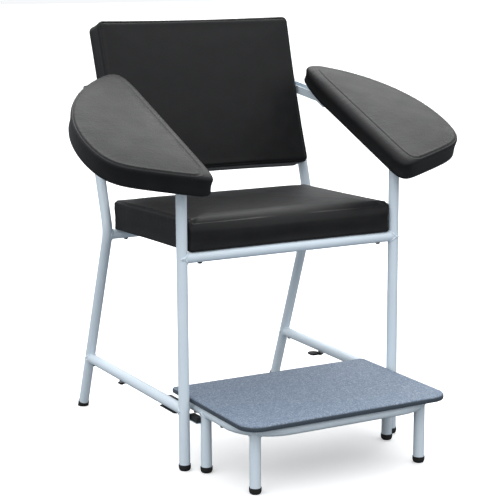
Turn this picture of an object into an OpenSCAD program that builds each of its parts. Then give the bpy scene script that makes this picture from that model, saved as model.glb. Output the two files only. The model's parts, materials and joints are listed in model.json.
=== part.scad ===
// Phlebotomy chair: a tubular steel frame with a padded seat and back, two D-shaped
// arm pads that lift about the tops of the uprights, and a step that slides under the seat.
// Millimetres, +Z up, the sitter faces -Y, the origin is on the floor under the middle.

/* [Tube] */
// Outer diameter of every frame tube
tube_d = 25; // [22:1:28]
// Wall of every frame tube
tube_wall = 1.5; // [1:0.1:2.5]
// Centreline radius of the bend in the rear legs
bend_r = 70; // [50:5:90]

/* [Frame] */
// Distance between the axes of the front legs
front_spread = 560; // [540:5:600]
// Distance between the axes of the rear legs
rear_spread = 573; // [565:1:610]
// How far the rear feet stand behind the front legs
rear_foot_run = 590; // [560:5:620]
// How far the bend of the rear legs is behind the front legs
bend_run = 398; // [390:1:410]
// Height of the bend of the rear legs
bend_h = 490; // [475:1:500]
// Angle of the uprights and the back from the vertical
recline = 17; // [12:0.5:20]
// Length of the uprights above the bend
upright_len = 358; // [340:1:370]
// Height of the axes of the lower side rails
side_rail_h = 141; // [135:1:146]
// Height of the axis of the front seat rail
front_rail_h = 490; // [480:1:500]
// How much lower the rear seat rail is
seat_drop = 9; // [0:1:15]
// Place of the lower back rail above the bend, along the uprights
low_back_rail = 170; // [150:5:190]
// Place of the upper back rail above the bend, along the uprights
high_back_rail = 300; // [270:5:310]
// Outside diameter of the back rails
back_rail_d = 16; // [14:1:20]

/* [Feet] */
// Radius of the rubber foot plugs
foot_r = 14; // [12.8:0.1:15]
// Height of the domed foot plug under a tube
foot_h = 14.5; // [7:0.5:18]
// How far a plug goes into its tube
plug_in = 20; // [12:1:30]

/* [Seat] */
// Half width of the seat cushion at the front
seat_front_half = 265; // [240:1:266]
// Half width of the seat cushion at the rear
seat_rear_half = 271; // [250:1:272]
// How far the cushion reaches in front of the front rail's axis
seat_overhang = 12; // [5:1:20]
// Depth of the seat cushion behind the front rail's axis
seat_depth = 400; // [380:1:410]
// Height of the seat cushion above the rails at its edges
seat_thick = 73; // [60:1:80]
// Corner radius of the seat cushion, seen from above
seat_corner = 12; // [8:1:30]
// Thickness of the seat, back and arm boards
board_t = 12; // [9:1:15]

/* [Back] */
// Half width of the back cushion
back_half = 266; // [240:1:267]
// Place of the lower edge of the back cushion above the bend, along the uprights
back_low = 124; // [110:1:140]
// Height of the back cushion
back_height = 384; // [350:1:400]
// Thickness of the back cushion in front of its rails
back_thick = 67; // [50:1:75]
// Corner radius of the back cushion
back_corner = 15; // [10:1:30]

/* [Arms] */
// Slope of the arm pads, higher at the rear
arm_slope = 22.5; // [20:0.5:24]
// Height of the arm tube's axis above the front seat rail, over the front leg
arm_rise = 167; // [160:1:175]
// Distance from the arm tube's axis in to the straight edge of the pad
pad_inner = 40; // [32:1:42]
// Distance from the arm tube's axis out to the farthest point of the pad
pad_reach = 196; // [170:1:210]
// Radius of the outer arc of the pad
pad_arc_r = 345; // [300:1:380]
// Place of the arc's centre along the arm, behind the front leg
pad_arc_run = 115; // [100:1:125]
// Distance from the front leg forward to the front edge of the pad
pad_front = 82; // [75:1:95]
// Angle of the pad's front edge
pad_front_angle = 22.5; // [15:0.1:25]
// Thickness of the arm pad
pad_thick = 46; // [40:1:50]
// Thickness of the plates under the pads
arm_plate_t = 4; // [3:0.5:5]
// How far the arms lift, in degrees
arm_lift = 40; // [30:1:42]
// Diameter of the pivot bolts
pivot_d = 10; // [8:1:12]

/* [Step] */
// Half width of the step board
step_half = 263; // [258:1:264]
// How far the front edge of the step board is in front of the front legs
step_reach = 268; // [250:1:280]
// How far the rear edge of the step board is behind the front legs
step_back = 101; // [80:1:110]
// Height of the top of the step
step_h = 168; // [165:1:172]
// Thickness of the step board with its covering
step_t = 12.5; // [8:0.5:14]
// Radius of the front corners of the step board
step_corner = 44; // [20:1:110]
// Radius of the rear corners of the step board
step_rear_corner = 8; // [4:1:60]
// Gap between the side tubes of the step frame and the chair's front legs
step_side_gap = 11.5; // [11:0.5:15]
// Distance from the board's front edge back to the front tube's axis
step_front_inset = 26; // [20:1:30]
// Distance from the board's rear edge forward to the rear tube's axis
step_rear_inset = 19; // [16:1:24]
// Centreline radius of the front corners of the step frame
step_bend_r = 100; // [80:1:110]
// Centreline radius of the rear corners of the step frame
step_rear_bend_r = 45; // [40:1:60]
// How far the rear legs of the step are in front of the chair's front legs
step_leg_run = 37; // [34:1:50]
// Thickness of the grey covering on the step
mat_t = 2.5; // [1.5:0.5:3]

/* [Step guides] */
// Place of the rubber stops behind the front legs
stop_run = 340; // [300:1:360]
// Diameter of the rubber stops
stop_d = 30; // [24:1:34]
// Distance from the side rail's axis in to the middle of a stop
stop_in = 21; // [20:1:24]

/* [Hidden] */

$fn = 48;
frame_colour = "#c3d1db";
vinyl_colour = "#2b2b2c";
black_colour = "#161617";
zinc_colour = "#c9cccf";
wood_colour = "#b08d62";

// How far every cut runs past what it cuts
over = 1;
// Gap between a soft pad and what it rests on
soft_gap = 0.3;
// Running gap at the hinges and the saddles
run_gap = 0.3;
// Straight runs reach this far into a bend, which is this much thicker, so that they join
join_run = 1;
join_step = 0.05;
// Room left for the weld where the end of one tube is cut to fit another
cope_gap = 0.05;
// Radial gap of a screw or bolt in its hole
hole_gap = 0.08;

tube_r = tube_d/2;
bore_r = tube_r - tube_wall;
cope_r = tube_r + cope_gap;
front_half = front_spread/2;
rear_half = rear_spread/2;

// The rear legs: their lean, their bend and the tops of the uprights
lean = atan2(rear_foot_run - bend_run, bend_h);
turn = lean + recline;
bend_tangent = bend_r*tan(turn/2);
foot_reach = foot_r/cos(lean);
front_leg_y = (step_reach - rear_foot_run - foot_reach)/2;
side_rail_run = rear_foot_run - (rear_foot_run - bend_run)*side_rail_h/bend_h;
rail_yaw = atan2(rear_half - front_half, side_rail_run);
rear_rail_h = front_rail_h - seat_drop;
rear_rail_run = bend_run + (bend_h - rear_rail_h)*tan(lean) + bend_r*(1/cos(turn/2) - 1);
seat_tilt = atan2(seat_drop, rear_rail_run);

// The arms turn about bolts through the uprights, this far up them
pivot_drop = 18;
arm_axis_h = front_rail_h + arm_rise;
pivot_along = upright_len - pivot_drop;
back_rail_r = back_rail_d/2;
back_rail_set = tube_r - back_rail_r - over;
back_face = back_rail_r - back_rail_set;
pivot_run = bend_run + pivot_along*sin(recline);
pivot_h = bend_h + pivot_along*cos(recline);
arm_yaw = atan2(rear_half - front_half, pivot_run);
hinge_t = 3;
hinge_w = 20;
arm_tube_end = 372;
arm_tube_front = 26;
plate_w = 62;
plate_in = 34;
plate_out = 56;
plate_front_run = 58;
plate_rear_run = 322;
plate_stations = [plate_front_run, plate_rear_run];
screw_r = 3;
screw_head_r = 5.5;
screw_head_h = 3.4;
bolt_head_r = pivot_d*0.85;
bolt_head_h = pivot_d*0.6;

// The step
step_tube_h = step_h - step_t - tube_r;
step_tube_front = step_reach - step_front_inset;
step_tube_back = step_back - step_rear_inset;
step_leg_share = 0.70710678;
cope_ear = 3;
step_tube_half = front_half - tube_d - step_side_gap;
step_front_leg_x = step_tube_half - step_bend_r*(1 - step_leg_share);
step_front_leg_run = step_tube_front - step_bend_r*(1 - step_leg_share);
strip_l = 74;
strip_run = 68;
strip_t = 7;
strip_h = 15;
strip_foot_t = 2;
guide_block_w = 14;
guide_block_l = step_leg_run + over/2;
guide_block_h = 13;
guide_tab_t = 2.5;
guide_block_x = front_half - tube_r - run_gap;
guide_tab_w = guide_block_x - step_tube_half;
guide_block_top = side_rail_h - strip_h*0.65;
guide_screw_share = 0.36;
stop_arm_t = 3;
stop_spacer_h = 5;
stop_disc_t = 6;
stop_arm_w = 18;

// Seat and back cushions: rings of points from the crown down to the recess for the board
soft_steps = 7;
corner_steps = 5;
seat_crown = 8;
back_crown = 5;
seat_edge_r = 22;
back_edge_r = 12;
low_edge_r = 5;
draw_in = 3;
board_inset = 4;
pad_board_inset = 8;
// Sharpness of the pads' corners: the higher, the smaller the radius
pad_sharp_share = 8;
pad_points = 60;
pad_edge_r = 12;
pad_crown = 5;

function lerp(a, b, t) = a + (b - a)*t;

// Place of a point this far behind the front legs
function at_run(run) = front_leg_y + run;

// Points of a cushion's outline: four round corners joined by sides that draw in
function side_points(a, b, pull) = [for (i = [1:soft_steps - 1])
    let (t = i/soft_steps, d = b - a, n = [-d[1], d[0]]/norm(d))
    a + d*t + n*pull*sin(180*t)];
function corner_points(c, r, a0) = [for (i = [0:corner_steps])
    let (a = a0 + 90*i/corner_steps) c + r*[cos(a), sin(a)]];
function outline(half0, half1, y0, y1, r, inset, pull) =
    let (q = max(r - inset, r/4), h0 = half0 - inset - q, h1 = half1 - inset - q,
        ya = y0 + inset + q, yb = y1 - inset - q,
        fl = corner_points([-h0, ya], q, 180), fr = corner_points([h0, ya], q, 270),
        rr = corner_points([h1, yb], q, 0), rl = corner_points([-h1, yb], q, 90))
    concat(fl, side_points(fl[corner_steps], fr[0], pull),
        fr, side_points(fr[corner_steps], rr[0], pull),
        rr, side_points(rr[corner_steps], rl[0], pull),
        rl, side_points(rl[corner_steps], fl[0], pull));

// Points of the D outline of an arm pad, from three walls met by a ray from its middle:
// the straight inner edge, the slanting front edge and the round outer arc
function wall_share(u, normal, distance) = max(0, u*normal)/distance;
function pad_outline(inset) =
    let (mid = [(pad_reach - pad_inner)/2, pad_arc_run],
        arc_off = [mid[0] - pad_reach + pad_arc_r, 0],
        front_n = [sin(pad_front_angle), -cos(pad_front_angle)],
        front_d = (mid[1] + pad_front)*cos(pad_front_angle) - mid[0]*sin(pad_front_angle))
    [for (i = [0:pad_points - 1])
        let (a = 360*i/pad_points, u = [cos(a), sin(a)], b = arc_off*u,
            arc_d = -b + sqrt(b*b + pow(pad_arc_r, 2) - arc_off*arc_off),
            p = pad_sharp_share,
            total = pow(1/arc_d, p) + pow(wall_share(u, [-1, 0], mid[0] + pad_inner), p)
                + pow(wall_share(u, front_n, front_d), p))
        mid + u*(pow(total, -1/p) - inset)];

// One ring: the outline shrunk to a share of itself about its middle, at its height
function ring(points, middle, share, z) = [for (p = points) [
    lerp(middle[0], p[0], share), lerp(middle[1], p[1], share), z]];

// A closed solid through rings of equal counts, with a point in the middle at each end
module loft(rings, top, bottom) {
    n = len(rings[0]);
    m = len(rings);
    points = concat([top], [for (r = rings) each r], [bottom]);
    last = len(points) - 1;
    polyhedron(points, concat(
        [for (i = [0:n - 1]) [0, 1 + (i + 1)%n, 1 + i]],
        [for (k = [0:m - 2], i = [0:n - 1], half = [0, 1])
            let (a = 1 + k*n + i, b = 1 + k*n + (i + 1)%n)
            half == 0 ? [a, b, b + n] : [a, b + n, a + n]],
        [for (i = [0:n - 1]) [last, 1 + (m - 1)*n + i, 1 + (m - 1)*n + (i + 1)%n]]));
}

crown_shares = [0.3, 0.6, 0.85];
edge_angles = [0, 30, 60, 90];

// A boxed cushion: crowned top, rounded edges, sides drawn in, a recess for its board
module cushion(half0, half1, y0, y1, r, h, edge, rise) {
    mid = [0, (y0 + y1)/2];
    pad_top = h - soft_gap;
    top = outline(half0, half1, y0, y1, r, edge, draw_in);
    rings = concat(
        [for (s = crown_shares) ring(top, mid, s, pad_top + rise*(1 - s*s))],
        [for (a = edge_angles) ring(outline(half0, half1, y0, y1, r, edge*(1 - sin(a)), draw_in),
            mid, 1, pad_top - edge*(1 - cos(a)))],
        [ring(outline(half0, half1, y0, y1, r, draw_in/2, draw_in*2), mid, 1, h*0.4),
        ring(outline(half0, half1, y0, y1, r, 0, draw_in), mid, 1, low_edge_r),
        ring(outline(half0, half1, y0, y1, r, low_edge_r*0.5, draw_in), mid, 1, soft_gap),
        ring(outline(half0, half1, y0, y1, r, board_inset, draw_in), mid, 1, soft_gap),
        ring(outline(half0, half1, y0, y1, r, board_inset, draw_in), mid, 1, board_t + soft_gap)]);
    loft(rings, [mid[0], mid[1], pad_top + rise], [mid[0], mid[1], board_t + soft_gap]);
}

// The flat board that fits the recess of a cushion
module cushion_board(half0, half1, y0, y1, r) {
    linear_extrude(board_t)
        polygon(outline(half0, half1, y0, y1, r, board_inset + soft_gap*2, draw_in));
}

// A straight tube between two points of a plane of constant x, [y, z] each
module plane_bar(p, q, r) {
    d = q - p;
    translate([0, p[0], p[1]]) rotate([-atan2(d[0], d[1]), 0, 0]) cylinder(h=norm(d), r=r);
}

// The straight lower run of a rear leg as a solid of the given radius; the foot can run past
leg_down = [sin(lean), -cos(lean)];
leg_bend = [at_run(bend_run), bend_h];
leg_low = leg_bend + bend_tangent*leg_down;
module rear_leg_lower(r, past) {
    foot = leg_bend + leg_down*((bend_h - foot_h*cos(lean))/cos(lean));
    plane_bar(leg_low - join_run*leg_down, foot + past*leg_down, r);
}

// A whole rear leg with its bend and upright, of the given radius; the ends can run past
module rear_leg_path(r, past) {
    up = [sin(recline), cos(recline)];
    centre = leg_low + bend_r*[cos(lean), sin(lean)];
    rear_leg_lower(r, past);
    translate([0, centre[0], centre[1]]) rotate([90, 0, 90]) rotate([0, 0, 180 - recline])
        rotate_extrude(angle=turn, $fn=96) translate([bend_r, 0]) circle(r=r + join_step);
    plane_bar(leg_bend + (bend_tangent - join_run)*up, leg_bend + (upright_len + past)*up, r);
}

module rear_leg(side) {
    color(frame_colour) translate([side*rear_half, 0, 0]) difference() {
        rear_leg_path(tube_r, 0);
        rear_leg_path(bore_r, over);
        translate([0, at_run(pivot_run), pivot_h]) rotate([0, 90, 0])
            cylinder(h=tube_d + over*2, r=pivot_d/2 + hole_gap, center=true);
    }
}

// The solid core of both rear legs, which the rails are cut to fit
module rear_leg_cores() {
    for (side = [-1, 1]) translate([side*rear_half, 0, 0]) rear_leg_path(cope_r, 0);
}

module front_leg_core(side, r, low, high) {
    translate([side*front_half, front_leg_y, low]) cylinder(h=high - low, r=r);
}

// Moves to the arm's own frame: origin on the arm tube's axis over the front leg,
// +X outwards, +Y to the rear along the slope, +Z square to the pad
module arm_place(side) {
    translate([side*front_half, front_leg_y, arm_axis_h]) rotate([0, 0, -side*arm_yaw])
        mirror([side < 0 ? 1 : 0, 0, 0]) rotate([arm_slope, 0, 0]) children();
}

module arm_tube_core(r, past) {
    translate([0, -arm_tube_front - past, 0]) rotate([-90, 0, 0])
        cylinder(h=arm_tube_front + arm_tube_end + past*2, r=r);
}

saddle_t = 1.5;
leg_top = arm_axis_h - tube_r/cos(arm_slope);

module front_leg(side) {
    color(frame_colour) difference() {
        front_leg_core(side, tube_r, foot_h, arm_axis_h);
        front_leg_core(side, bore_r, foot_h - over, arm_axis_h + over);
        arm_place(side) arm_tube_core(tube_r + run_gap + saddle_t, tube_d*2);
    }
}

// Grey saddles in the tops of the front legs, on which the arm tubes rest
module arm_saddles() {
    color(zinc_colour) for (side = [-1, 1]) difference() {
        intersection() {
            front_leg_core(side, tube_r, leg_top - plug_in, arm_axis_h);
            union() {
                front_leg_core(side, bore_r, leg_top - plug_in - over, arm_axis_h);
                arm_place(side) arm_tube_core(tube_r + run_gap + saddle_t, tube_d*2);
            }
        }
        arm_place(side) arm_tube_core(tube_r + run_gap, tube_d*2);
        translate([0, 0, arm_axis_h - saddle_t])
            front_leg_core(side, tube_r + over, 0, tube_d);
        arm_place(side) translate([-tube_d, -tube_d*2, -tube_r/2]) cube([tube_d*2, tube_d*4, tube_d*2]);
    }
}

// Moves to a side rail's own frame: origin on its axis beside the front leg, +X outwards
module rail_place(side) {
    translate([side*front_half, front_leg_y, side_rail_h]) rotate([0, 0, -side*rail_yaw])
        mirror([side < 0 ? 1 : 0, 0, 0]) children();
}

module side_rail(side) {
    length = side_rail_run/cos(rail_yaw);
    color(frame_colour) difference() {
        rail_place(side) rotate([-90, 0, 0]) cylinder(h=length, r=tube_r);
        rail_place(side) translate([0, -over, 0]) rotate([-90, 0, 0])
            cylinder(h=length + over*2, r=bore_r);
        front_leg_core(side, cope_r, 0, side_rail_h*2);
        translate([side*rear_half, 0, 0]) rear_leg_lower(cope_r, 0);
        rail_place(side) stop_fix_place() cylinder(h=tube_r, r=screw_r + hole_gap);
        rail_place(side) guide_screw_places() cylinder(h=tube_r, r=screw_r + hole_gap);
        rail_place(side) end_screw_place() cylinder(h=tube_r, r=screw_r + hole_gap);
    }
}

// Places on a side rail, on its underside, pointing up
module stop_fix_place() { translate([0, stop_run, -tube_r - over]) children(); }
module guide_screw_places() {
    for (s = [-1, 1]) translate([0, strip_run + s*strip_l*guide_screw_share, -tube_r - over]) children();
}
module end_screw_place() { translate([0, side_rail_run - tube_d*1.2, -tube_r - over]) children(); }

module cross_bar(half, place, r, past) {
    translate([-half - past, place[0], place[1]]) rotate([0, 90, 0])
        cylinder(h=(half + past)*2, r=r);
}

front_rail_place = [front_leg_y, front_rail_h];
rear_rail_place = [at_run(rear_rail_run), rear_rail_h];

module front_seat_rail() {
    color(frame_colour) difference() {
        cross_bar(front_half, front_rail_place, tube_r, 0);
        cross_bar(front_half, front_rail_place, bore_r, over);
        for (side = [-1, 1]) front_leg_core(side, cope_r, 0, arm_axis_h);
        seat_place() seat_screw_places() cylinder(h=tube_d*2, r=screw_r + hole_gap, center=true);
    }
}

module rear_seat_rail() {
    color(frame_colour) difference() {
        cross_bar(rear_half, rear_rail_place, tube_r, 0);
        cross_bar(rear_half, rear_rail_place, bore_r, over);
        rear_leg_cores();
        seat_place() seat_screw_places() cylinder(h=tube_d*2, r=screw_r + hole_gap, center=true);
    }
}

// Moves to the back's own frame: origin at the bend, +Y up along the uprights, +Z to the front
module back_place() {
    translate([0, at_run(bend_run), bend_h]) rotate([90 - recline, 0, 0]) children();
}

module back_rail(along) {
    color(frame_colour) difference() {
        back_place() translate([-rear_half, along, -back_rail_set]) rotate([0, 90, 0])
            cylinder(h=rear_half*2, r=back_rail_r);
        back_place() translate([-rear_half - over, along, -back_rail_set]) rotate([0, 90, 0])
            cylinder(h=(rear_half + over)*2, r=back_rail_r - tube_wall);
        rear_leg_cores();
        back_place() back_screw_places() cylinder(h=tube_d*2, r=screw_r + hole_gap, center=true);
    }
}
module lower_back_rail() { back_rail(low_back_rail); }
module upper_back_rail() { back_rail(high_back_rail); }

// A rubber foot plug on the +Z axis: a dome up to the tube's end and a stem inside the tube
module foot_plug() {
    flat_r = foot_r*0.62;
    dome_r = foot_h*0.62;
    rotate_extrude() polygon(concat([[0, 0], [flat_r, 0]],
        [for (a = [15:15:90]) [flat_r + (foot_r - flat_r)*sin(a), dome_r*(1 - cos(a))]],
        [[foot_r, foot_h], [bore_r, foot_h], [bore_r, foot_h + plug_in], [0, foot_h + plug_in]]));
}

module front_foot_plugs() {
    color(black_colour) for (side = [-1, 1])
        translate([side*front_half, front_leg_y, 0]) foot_plug();
}

// The rear plugs follow the lean of the legs and stand flat on the floor
module rear_foot_plugs() {
    tip = [at_run(rear_foot_run), 0] - leg_down*foot_h;
    color(black_colour) for (side = [-1, 1]) difference() {
        translate([side*rear_half, 0, 0]) {
            plane_bar(tip, tip + leg_down*foot_h*2, foot_r);
            plane_bar(tip - leg_down*plug_in, tip + leg_down*over, bore_r);
        }
        translate([side*rear_half - foot_r*2, at_run(rear_foot_run) - foot_r*2, -foot_r*4])
            cube([foot_r*4, foot_r*4, foot_r*4]);
    }
}

module upright_caps() {
    color(black_colour) for (side = [-1, 1]) translate([side*rear_half, 0, 0]) back_place()
        translate([0, upright_len, 0]) rotate([90, 0, 0]) {
            cylinder(h=plug_in*0.4, r=bore_r);
            translate([0, 0, -cap_h]) cylinder(h=cap_h, r1=tube_r*0.85, r2=tube_r, $fn=48);
        }
}
cap_h = 4;

// Moves to the seat's own frame: origin on the front rail's axis, +Y to the rear
module seat_place() {
    translate([0, front_leg_y, front_rail_h]) rotate([-seat_tilt, 0, 0]) children();
}
seat_rails_run = rear_rail_run/cos(seat_tilt);
seat_screw_x = seat_front_half - board_inset - tube_d;
module seat_screw_places() {
    for (x = [-1, 1]*seat_screw_x, y = [0, seat_rails_run]) translate([x, y, 0]) children();
}

module seat_board() {
    color(wood_colour) difference() {
        seat_place() translate([0, 0, tube_r])
            cushion_board(seat_front_half, seat_rear_half, -seat_overhang, seat_depth, seat_corner);
        seat_place() seat_screw_places() cylinder(h=tube_r + board_t*0.7, r=screw_r + hole_gap);
    }
}

module seat_cushion() {
    color(vinyl_colour) seat_place() translate([0, 0, tube_r])
        cushion(seat_front_half, seat_rear_half, -seat_overhang, seat_depth, seat_corner, seat_thick,
            seat_edge_r, seat_crown);
}

// A button-headed screw with its head under z = 0 and its shank up to the given length
module screw(length) {
    translate([0, 0, -screw_head_h]) rotate_extrude() polygon(concat([[0, 0], [screw_head_r*0.55, 0]],
        [for (a = [30:30:90]) [screw_head_r*(0.55 + 0.45*sin(a)), screw_head_h*(1 - cos(a))]],
        [[screw_r, screw_head_h], [screw_r, screw_head_h + length], [0, screw_head_h + length]]));
}

module seat_screws() {
    color(black_colour) seat_place() seat_screw_places() translate([0, 0, -tube_r])
        screw(tube_d + board_t*0.7 - over/2);
}

back_screw_x = back_half*0.7;
module back_screw_places() {
    for (x = [-1, 1]*back_screw_x, y = [low_back_rail, high_back_rail]) translate([x, y, 0]) children();
}

module back_board() {
    color(wood_colour) difference() {
        back_place() translate([0, 0, back_face])
            cushion_board(back_half, back_half, back_low, back_low + back_height, back_corner);
        back_place() back_screw_places() cylinder(h=back_face + board_t*0.7, r=screw_r + hole_gap);
    }
}

module back_cushion() {
    color(vinyl_colour) back_place() translate([0, 0, back_face])
        cushion(back_half, back_half, back_low, back_low + back_height, back_corner,
            back_thick, back_edge_r, back_crown);
}

module back_screws() {
    color(black_colour) back_place() back_screw_places() translate([0, 0, back_face - back_rail_d])
        screw(back_rail_d + board_t*0.7 - over/2);
}

module arm_tube(side) {
    color(frame_colour) difference() {
        arm_place(side) arm_tube_core(tube_r, 0);
        arm_place(side) arm_tube_core(bore_r, over);
    }
}

// The pivot in the arm's own frame, [y, z]
pivot_from = [pivot_run/cos(arm_yaw), pivot_h - arm_axis_h];
pivot_at = [pivot_from[0]*cos(arm_slope) + pivot_from[1]*sin(arm_slope),
    pivot_from[1]*cos(arm_slope) - pivot_from[0]*sin(arm_slope)];
hinge_in = tube_r + run_gap;

// Two flat plates, one on each side of the upright, welded to the end of the arm tube
module arm_hinge_plates(side) {
    start = [arm_tube_end - hinge_w*2.2, 0];
    end = [arm_tube_end - hinge_w/2, 0];
    color(frame_colour) arm_place(side) for (s = [0, 1])
        translate([s == 0 ? hinge_in : -hinge_in - hinge_t, 0, 0]) difference() {
            rotate([90, 0, 90]) linear_extrude(hinge_t) hinge_outline(start, end);
            translate([-over, pivot_at[0], pivot_at[1]]) rotate([0, 90, 0])
                cylinder(h=hinge_t + over*2, r=pivot_d/2 + hole_gap);
        }
}

// Points of an arc about c
function arc_points(c, r, from, to, steps) = [for (i = [0:steps])
    let (a = lerp(from, to, i/steps)) c + r*[cos(a), sin(a)]];

// A bar of even width that bends at the tube's end and runs to the pivot, round at both ends
module hinge_outline(start, end) {
    r = hinge_w/2;
    fall = atan2(pivot_at[1] - end[1], pivot_at[0] - end[0]);
    inner = end + r/cos(fall/2)*[sin(fall/2), -cos(fall/2)];
    polygon(concat(arc_points(pivot_at, r, fall - 90, fall + 90, 16),
        arc_points(end, r, fall + 90, 90, 3), arc_points(start, r, 90, 270, 16), [inner]));
}

module arm_mount_plates(side) {
    color(frame_colour) arm_place(side) difference() {
        for (s = plate_stations)
            translate([-plate_in, s - plate_w/2, tube_r]) cube([plate_in + plate_out, plate_w, arm_plate_t]);
        arm_screw_places() cylinder(h=tube_d*2, r=screw_r + hole_gap);
    }
}
module arm_screw_places() {
    for (s = plate_stations, e = [-1, 1]*(plate_w/2 - screw_head_r*1.4),
        x = [-plate_in + screw_head_r*1.4, plate_out - screw_head_r*1.4])
        translate([x, s + e, 0]) children();
}

pad_floor = tube_r + arm_plate_t;
module arm_board(side) {
    color(wood_colour) arm_place(side) difference() {
        translate([0, 0, pad_floor]) linear_extrude(board_t)
            polygon(pad_outline(pad_board_inset + soft_gap*2));
        arm_screw_places() cylinder(h=pad_floor + board_t*0.7, r=screw_r + hole_gap);
    }
}

// The pad: a D with a rounded top edge, a low crown and a recess for its board
module arm_pad(side) {
    mid = [(pad_reach - pad_inner)/2, pad_arc_run];
    top = pad_thick - soft_gap;
    rings = concat(
        [for (s = crown_shares) ring(pad_outline(pad_edge_r), mid, s, top + pad_crown*(1 - s*s))],
        [for (a = edge_angles) ring(pad_outline(pad_edge_r*(1 - sin(a)) + draw_in/2),
            mid, 1, top - pad_edge_r*(1 - cos(a)))],
        [ring(pad_outline(draw_in), mid, 1, pad_thick*0.4),
        ring(pad_outline(0), mid, 1, low_edge_r*0.6),
        ring(pad_outline(low_edge_r*0.5), mid, 1, soft_gap),
        ring(pad_outline(pad_board_inset), mid, 1, soft_gap),
        ring(pad_outline(pad_board_inset), mid, 1, board_t + soft_gap)]);
    color(vinyl_colour) arm_place(side) translate([0, 0, pad_floor])
        loft(rings, [mid[0], mid[1], top + pad_crown], [mid[0], mid[1], board_t + soft_gap]);
}

module arm_screws(side) {
    color(black_colour) arm_place(side) arm_screw_places() translate([0, 0, tube_r])
        screw(arm_plate_t + board_t*0.7 - over/2);
}

module arm_tube_plugs(side) {
    color(black_colour) arm_place(side) {
        translate([0, -arm_tube_front, 0]) rotate([90, 0, 0]) tube_plug();
        translate([0, arm_tube_end, 0]) rotate([-90, 0, 0]) tube_plug();
    }
}

// A flat end plug for an open tube: its cap outside z = 0, its stem inside
module tube_plug() {
    cylinder(h=cap_h/2, r=tube_r);
    translate([0, 0, -plug_in*0.4]) cylinder(h=plug_in*0.4, r=bore_r);
}

// Moves to the pivot, +X outwards along the hinge's axis
module pivot_place(side) {
    arm_place(side) translate([0, pivot_at[0], pivot_at[1]]) rotate([0, 90, 0]) children();
}
pivot_grip = hinge_in + hinge_t + run_gap;
module pivot_bolt(side) {
    color(black_colour) pivot_place(side) {
        translate([0, 0, -pivot_grip - bolt_head_h]) cylinder(h=pivot_grip*2 + bolt_head_h*1.4, r=pivot_d/2);
        translate([0, 0, pivot_grip]) bolt_head();
    }
}
// A domed bolt head on the plane z = 0
module bolt_head() {
    rotate_extrude() polygon(concat([[0, 0], [bolt_head_r, 0]],
        [for (a = [0:20:80]) [bolt_head_r*(0.3 + 0.7*cos(a)), bolt_head_h*(0.25 + 0.6*sin(a))]],
        [[0, bolt_head_h*0.85]]));
}
module pivot_nut(side) {
    color(black_colour) pivot_place(side) difference() {
        translate([0, 0, -pivot_grip - bolt_head_h]) cylinder(h=bolt_head_h, r=bolt_head_r, $fn=6);
        translate([0, 0, -pivot_grip - bolt_head_h - over])
            cylinder(h=bolt_head_h + over*2, r=pivot_d/2);
    }
}

// The step, in the chair's frame at rest, pulled out
module step_place(x, run, h) { translate([x, front_leg_y - run, h]) children(); }

// The right front bend of the loop of tube under the step board, of the given radius
step_bend_x = step_tube_half - step_bend_r;
step_bend_y = step_bend_r - step_tube_front;
module step_front_bend(r) {
    step_place(step_bend_x, -step_bend_y, step_tube_h) rotate([0, 0, -90])
        rotate_extrude(angle=90, $fn=96) translate([step_bend_r, 0]) circle(r=r);
}

// The whole loop of tube as a solid of the given radius
module step_loop(r) {
    rear_x = step_tube_half - step_rear_bend_r;
    rear_y = step_tube_back - step_rear_bend_r;
    for (s = [-1, 1]) mirror([s < 0 ? 1 : 0, 0, 0]) step_front_bend(r);
    step_place(0, 0, step_tube_h) {
        translate([-step_bend_x, -step_tube_front, 0]) rotate([0, 90, 0])
            cylinder(h=step_bend_x*2, r=r);
        translate([-rear_x, step_tube_back, 0]) rotate([0, 90, 0]) cylinder(h=rear_x*2, r=r);
        for (s = [-1, 1]) {
            translate([s*step_tube_half, step_bend_y, 0]) rotate([-90, 0, 0])
                cylinder(h=rear_y - step_bend_y, r=r);
            mirror([s < 0 ? 1 : 0, 0, 0]) translate([rear_x, rear_y, 0])
                rotate_extrude(angle=90, $fn=96) translate([step_rear_bend_r, 0]) circle(r=r);
        }
    }
}

module step_frame() {
    color(frame_colour) difference() {
        step_loop(tube_r);
        step_loop(bore_r);
        step_screw_places() translate([0, 0, -tube_d]) cylinder(h=tube_d*2, r=screw_r + hole_gap);
    }
}

step_screw_runs = [step_tube_front - step_bend_r - tube_d, -step_tube_back + step_rear_bend_r + tube_d];
module step_screw_places() {
    for (s = [-1, 1]*step_tube_half, run = step_screw_runs) step_place(s, run, step_tube_h) children();
}

module step_leg_places() {
    for (s = [-1, 1]) {
        step_place(s*step_front_leg_x, step_front_leg_run, 0) children();
        step_place(s*step_tube_half, step_leg_run, 0) children();
    }
}

module step_legs() {
    color(frame_colour) difference() {
        step_leg_places() translate([0, 0, foot_h]) cylinder(h=step_tube_h - cope_ear - foot_h, r=tube_r);
        step_leg_places() translate([0, 0, foot_h - over]) cylinder(h=step_tube_h, r=bore_r);
        for (s = [-1, 1]) {
            step_place(s*step_tube_half, step_leg_run + tube_d, step_tube_h) rotate([-90, 0, 0])
                cylinder(h=tube_d*2, r=cope_r);
            mirror([s < 0 ? 1 : 0, 0, 0]) step_front_bend(cope_r);
        }
    }
}

module step_foot_plugs() { color(black_colour) step_leg_places() foot_plug(); }

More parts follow.
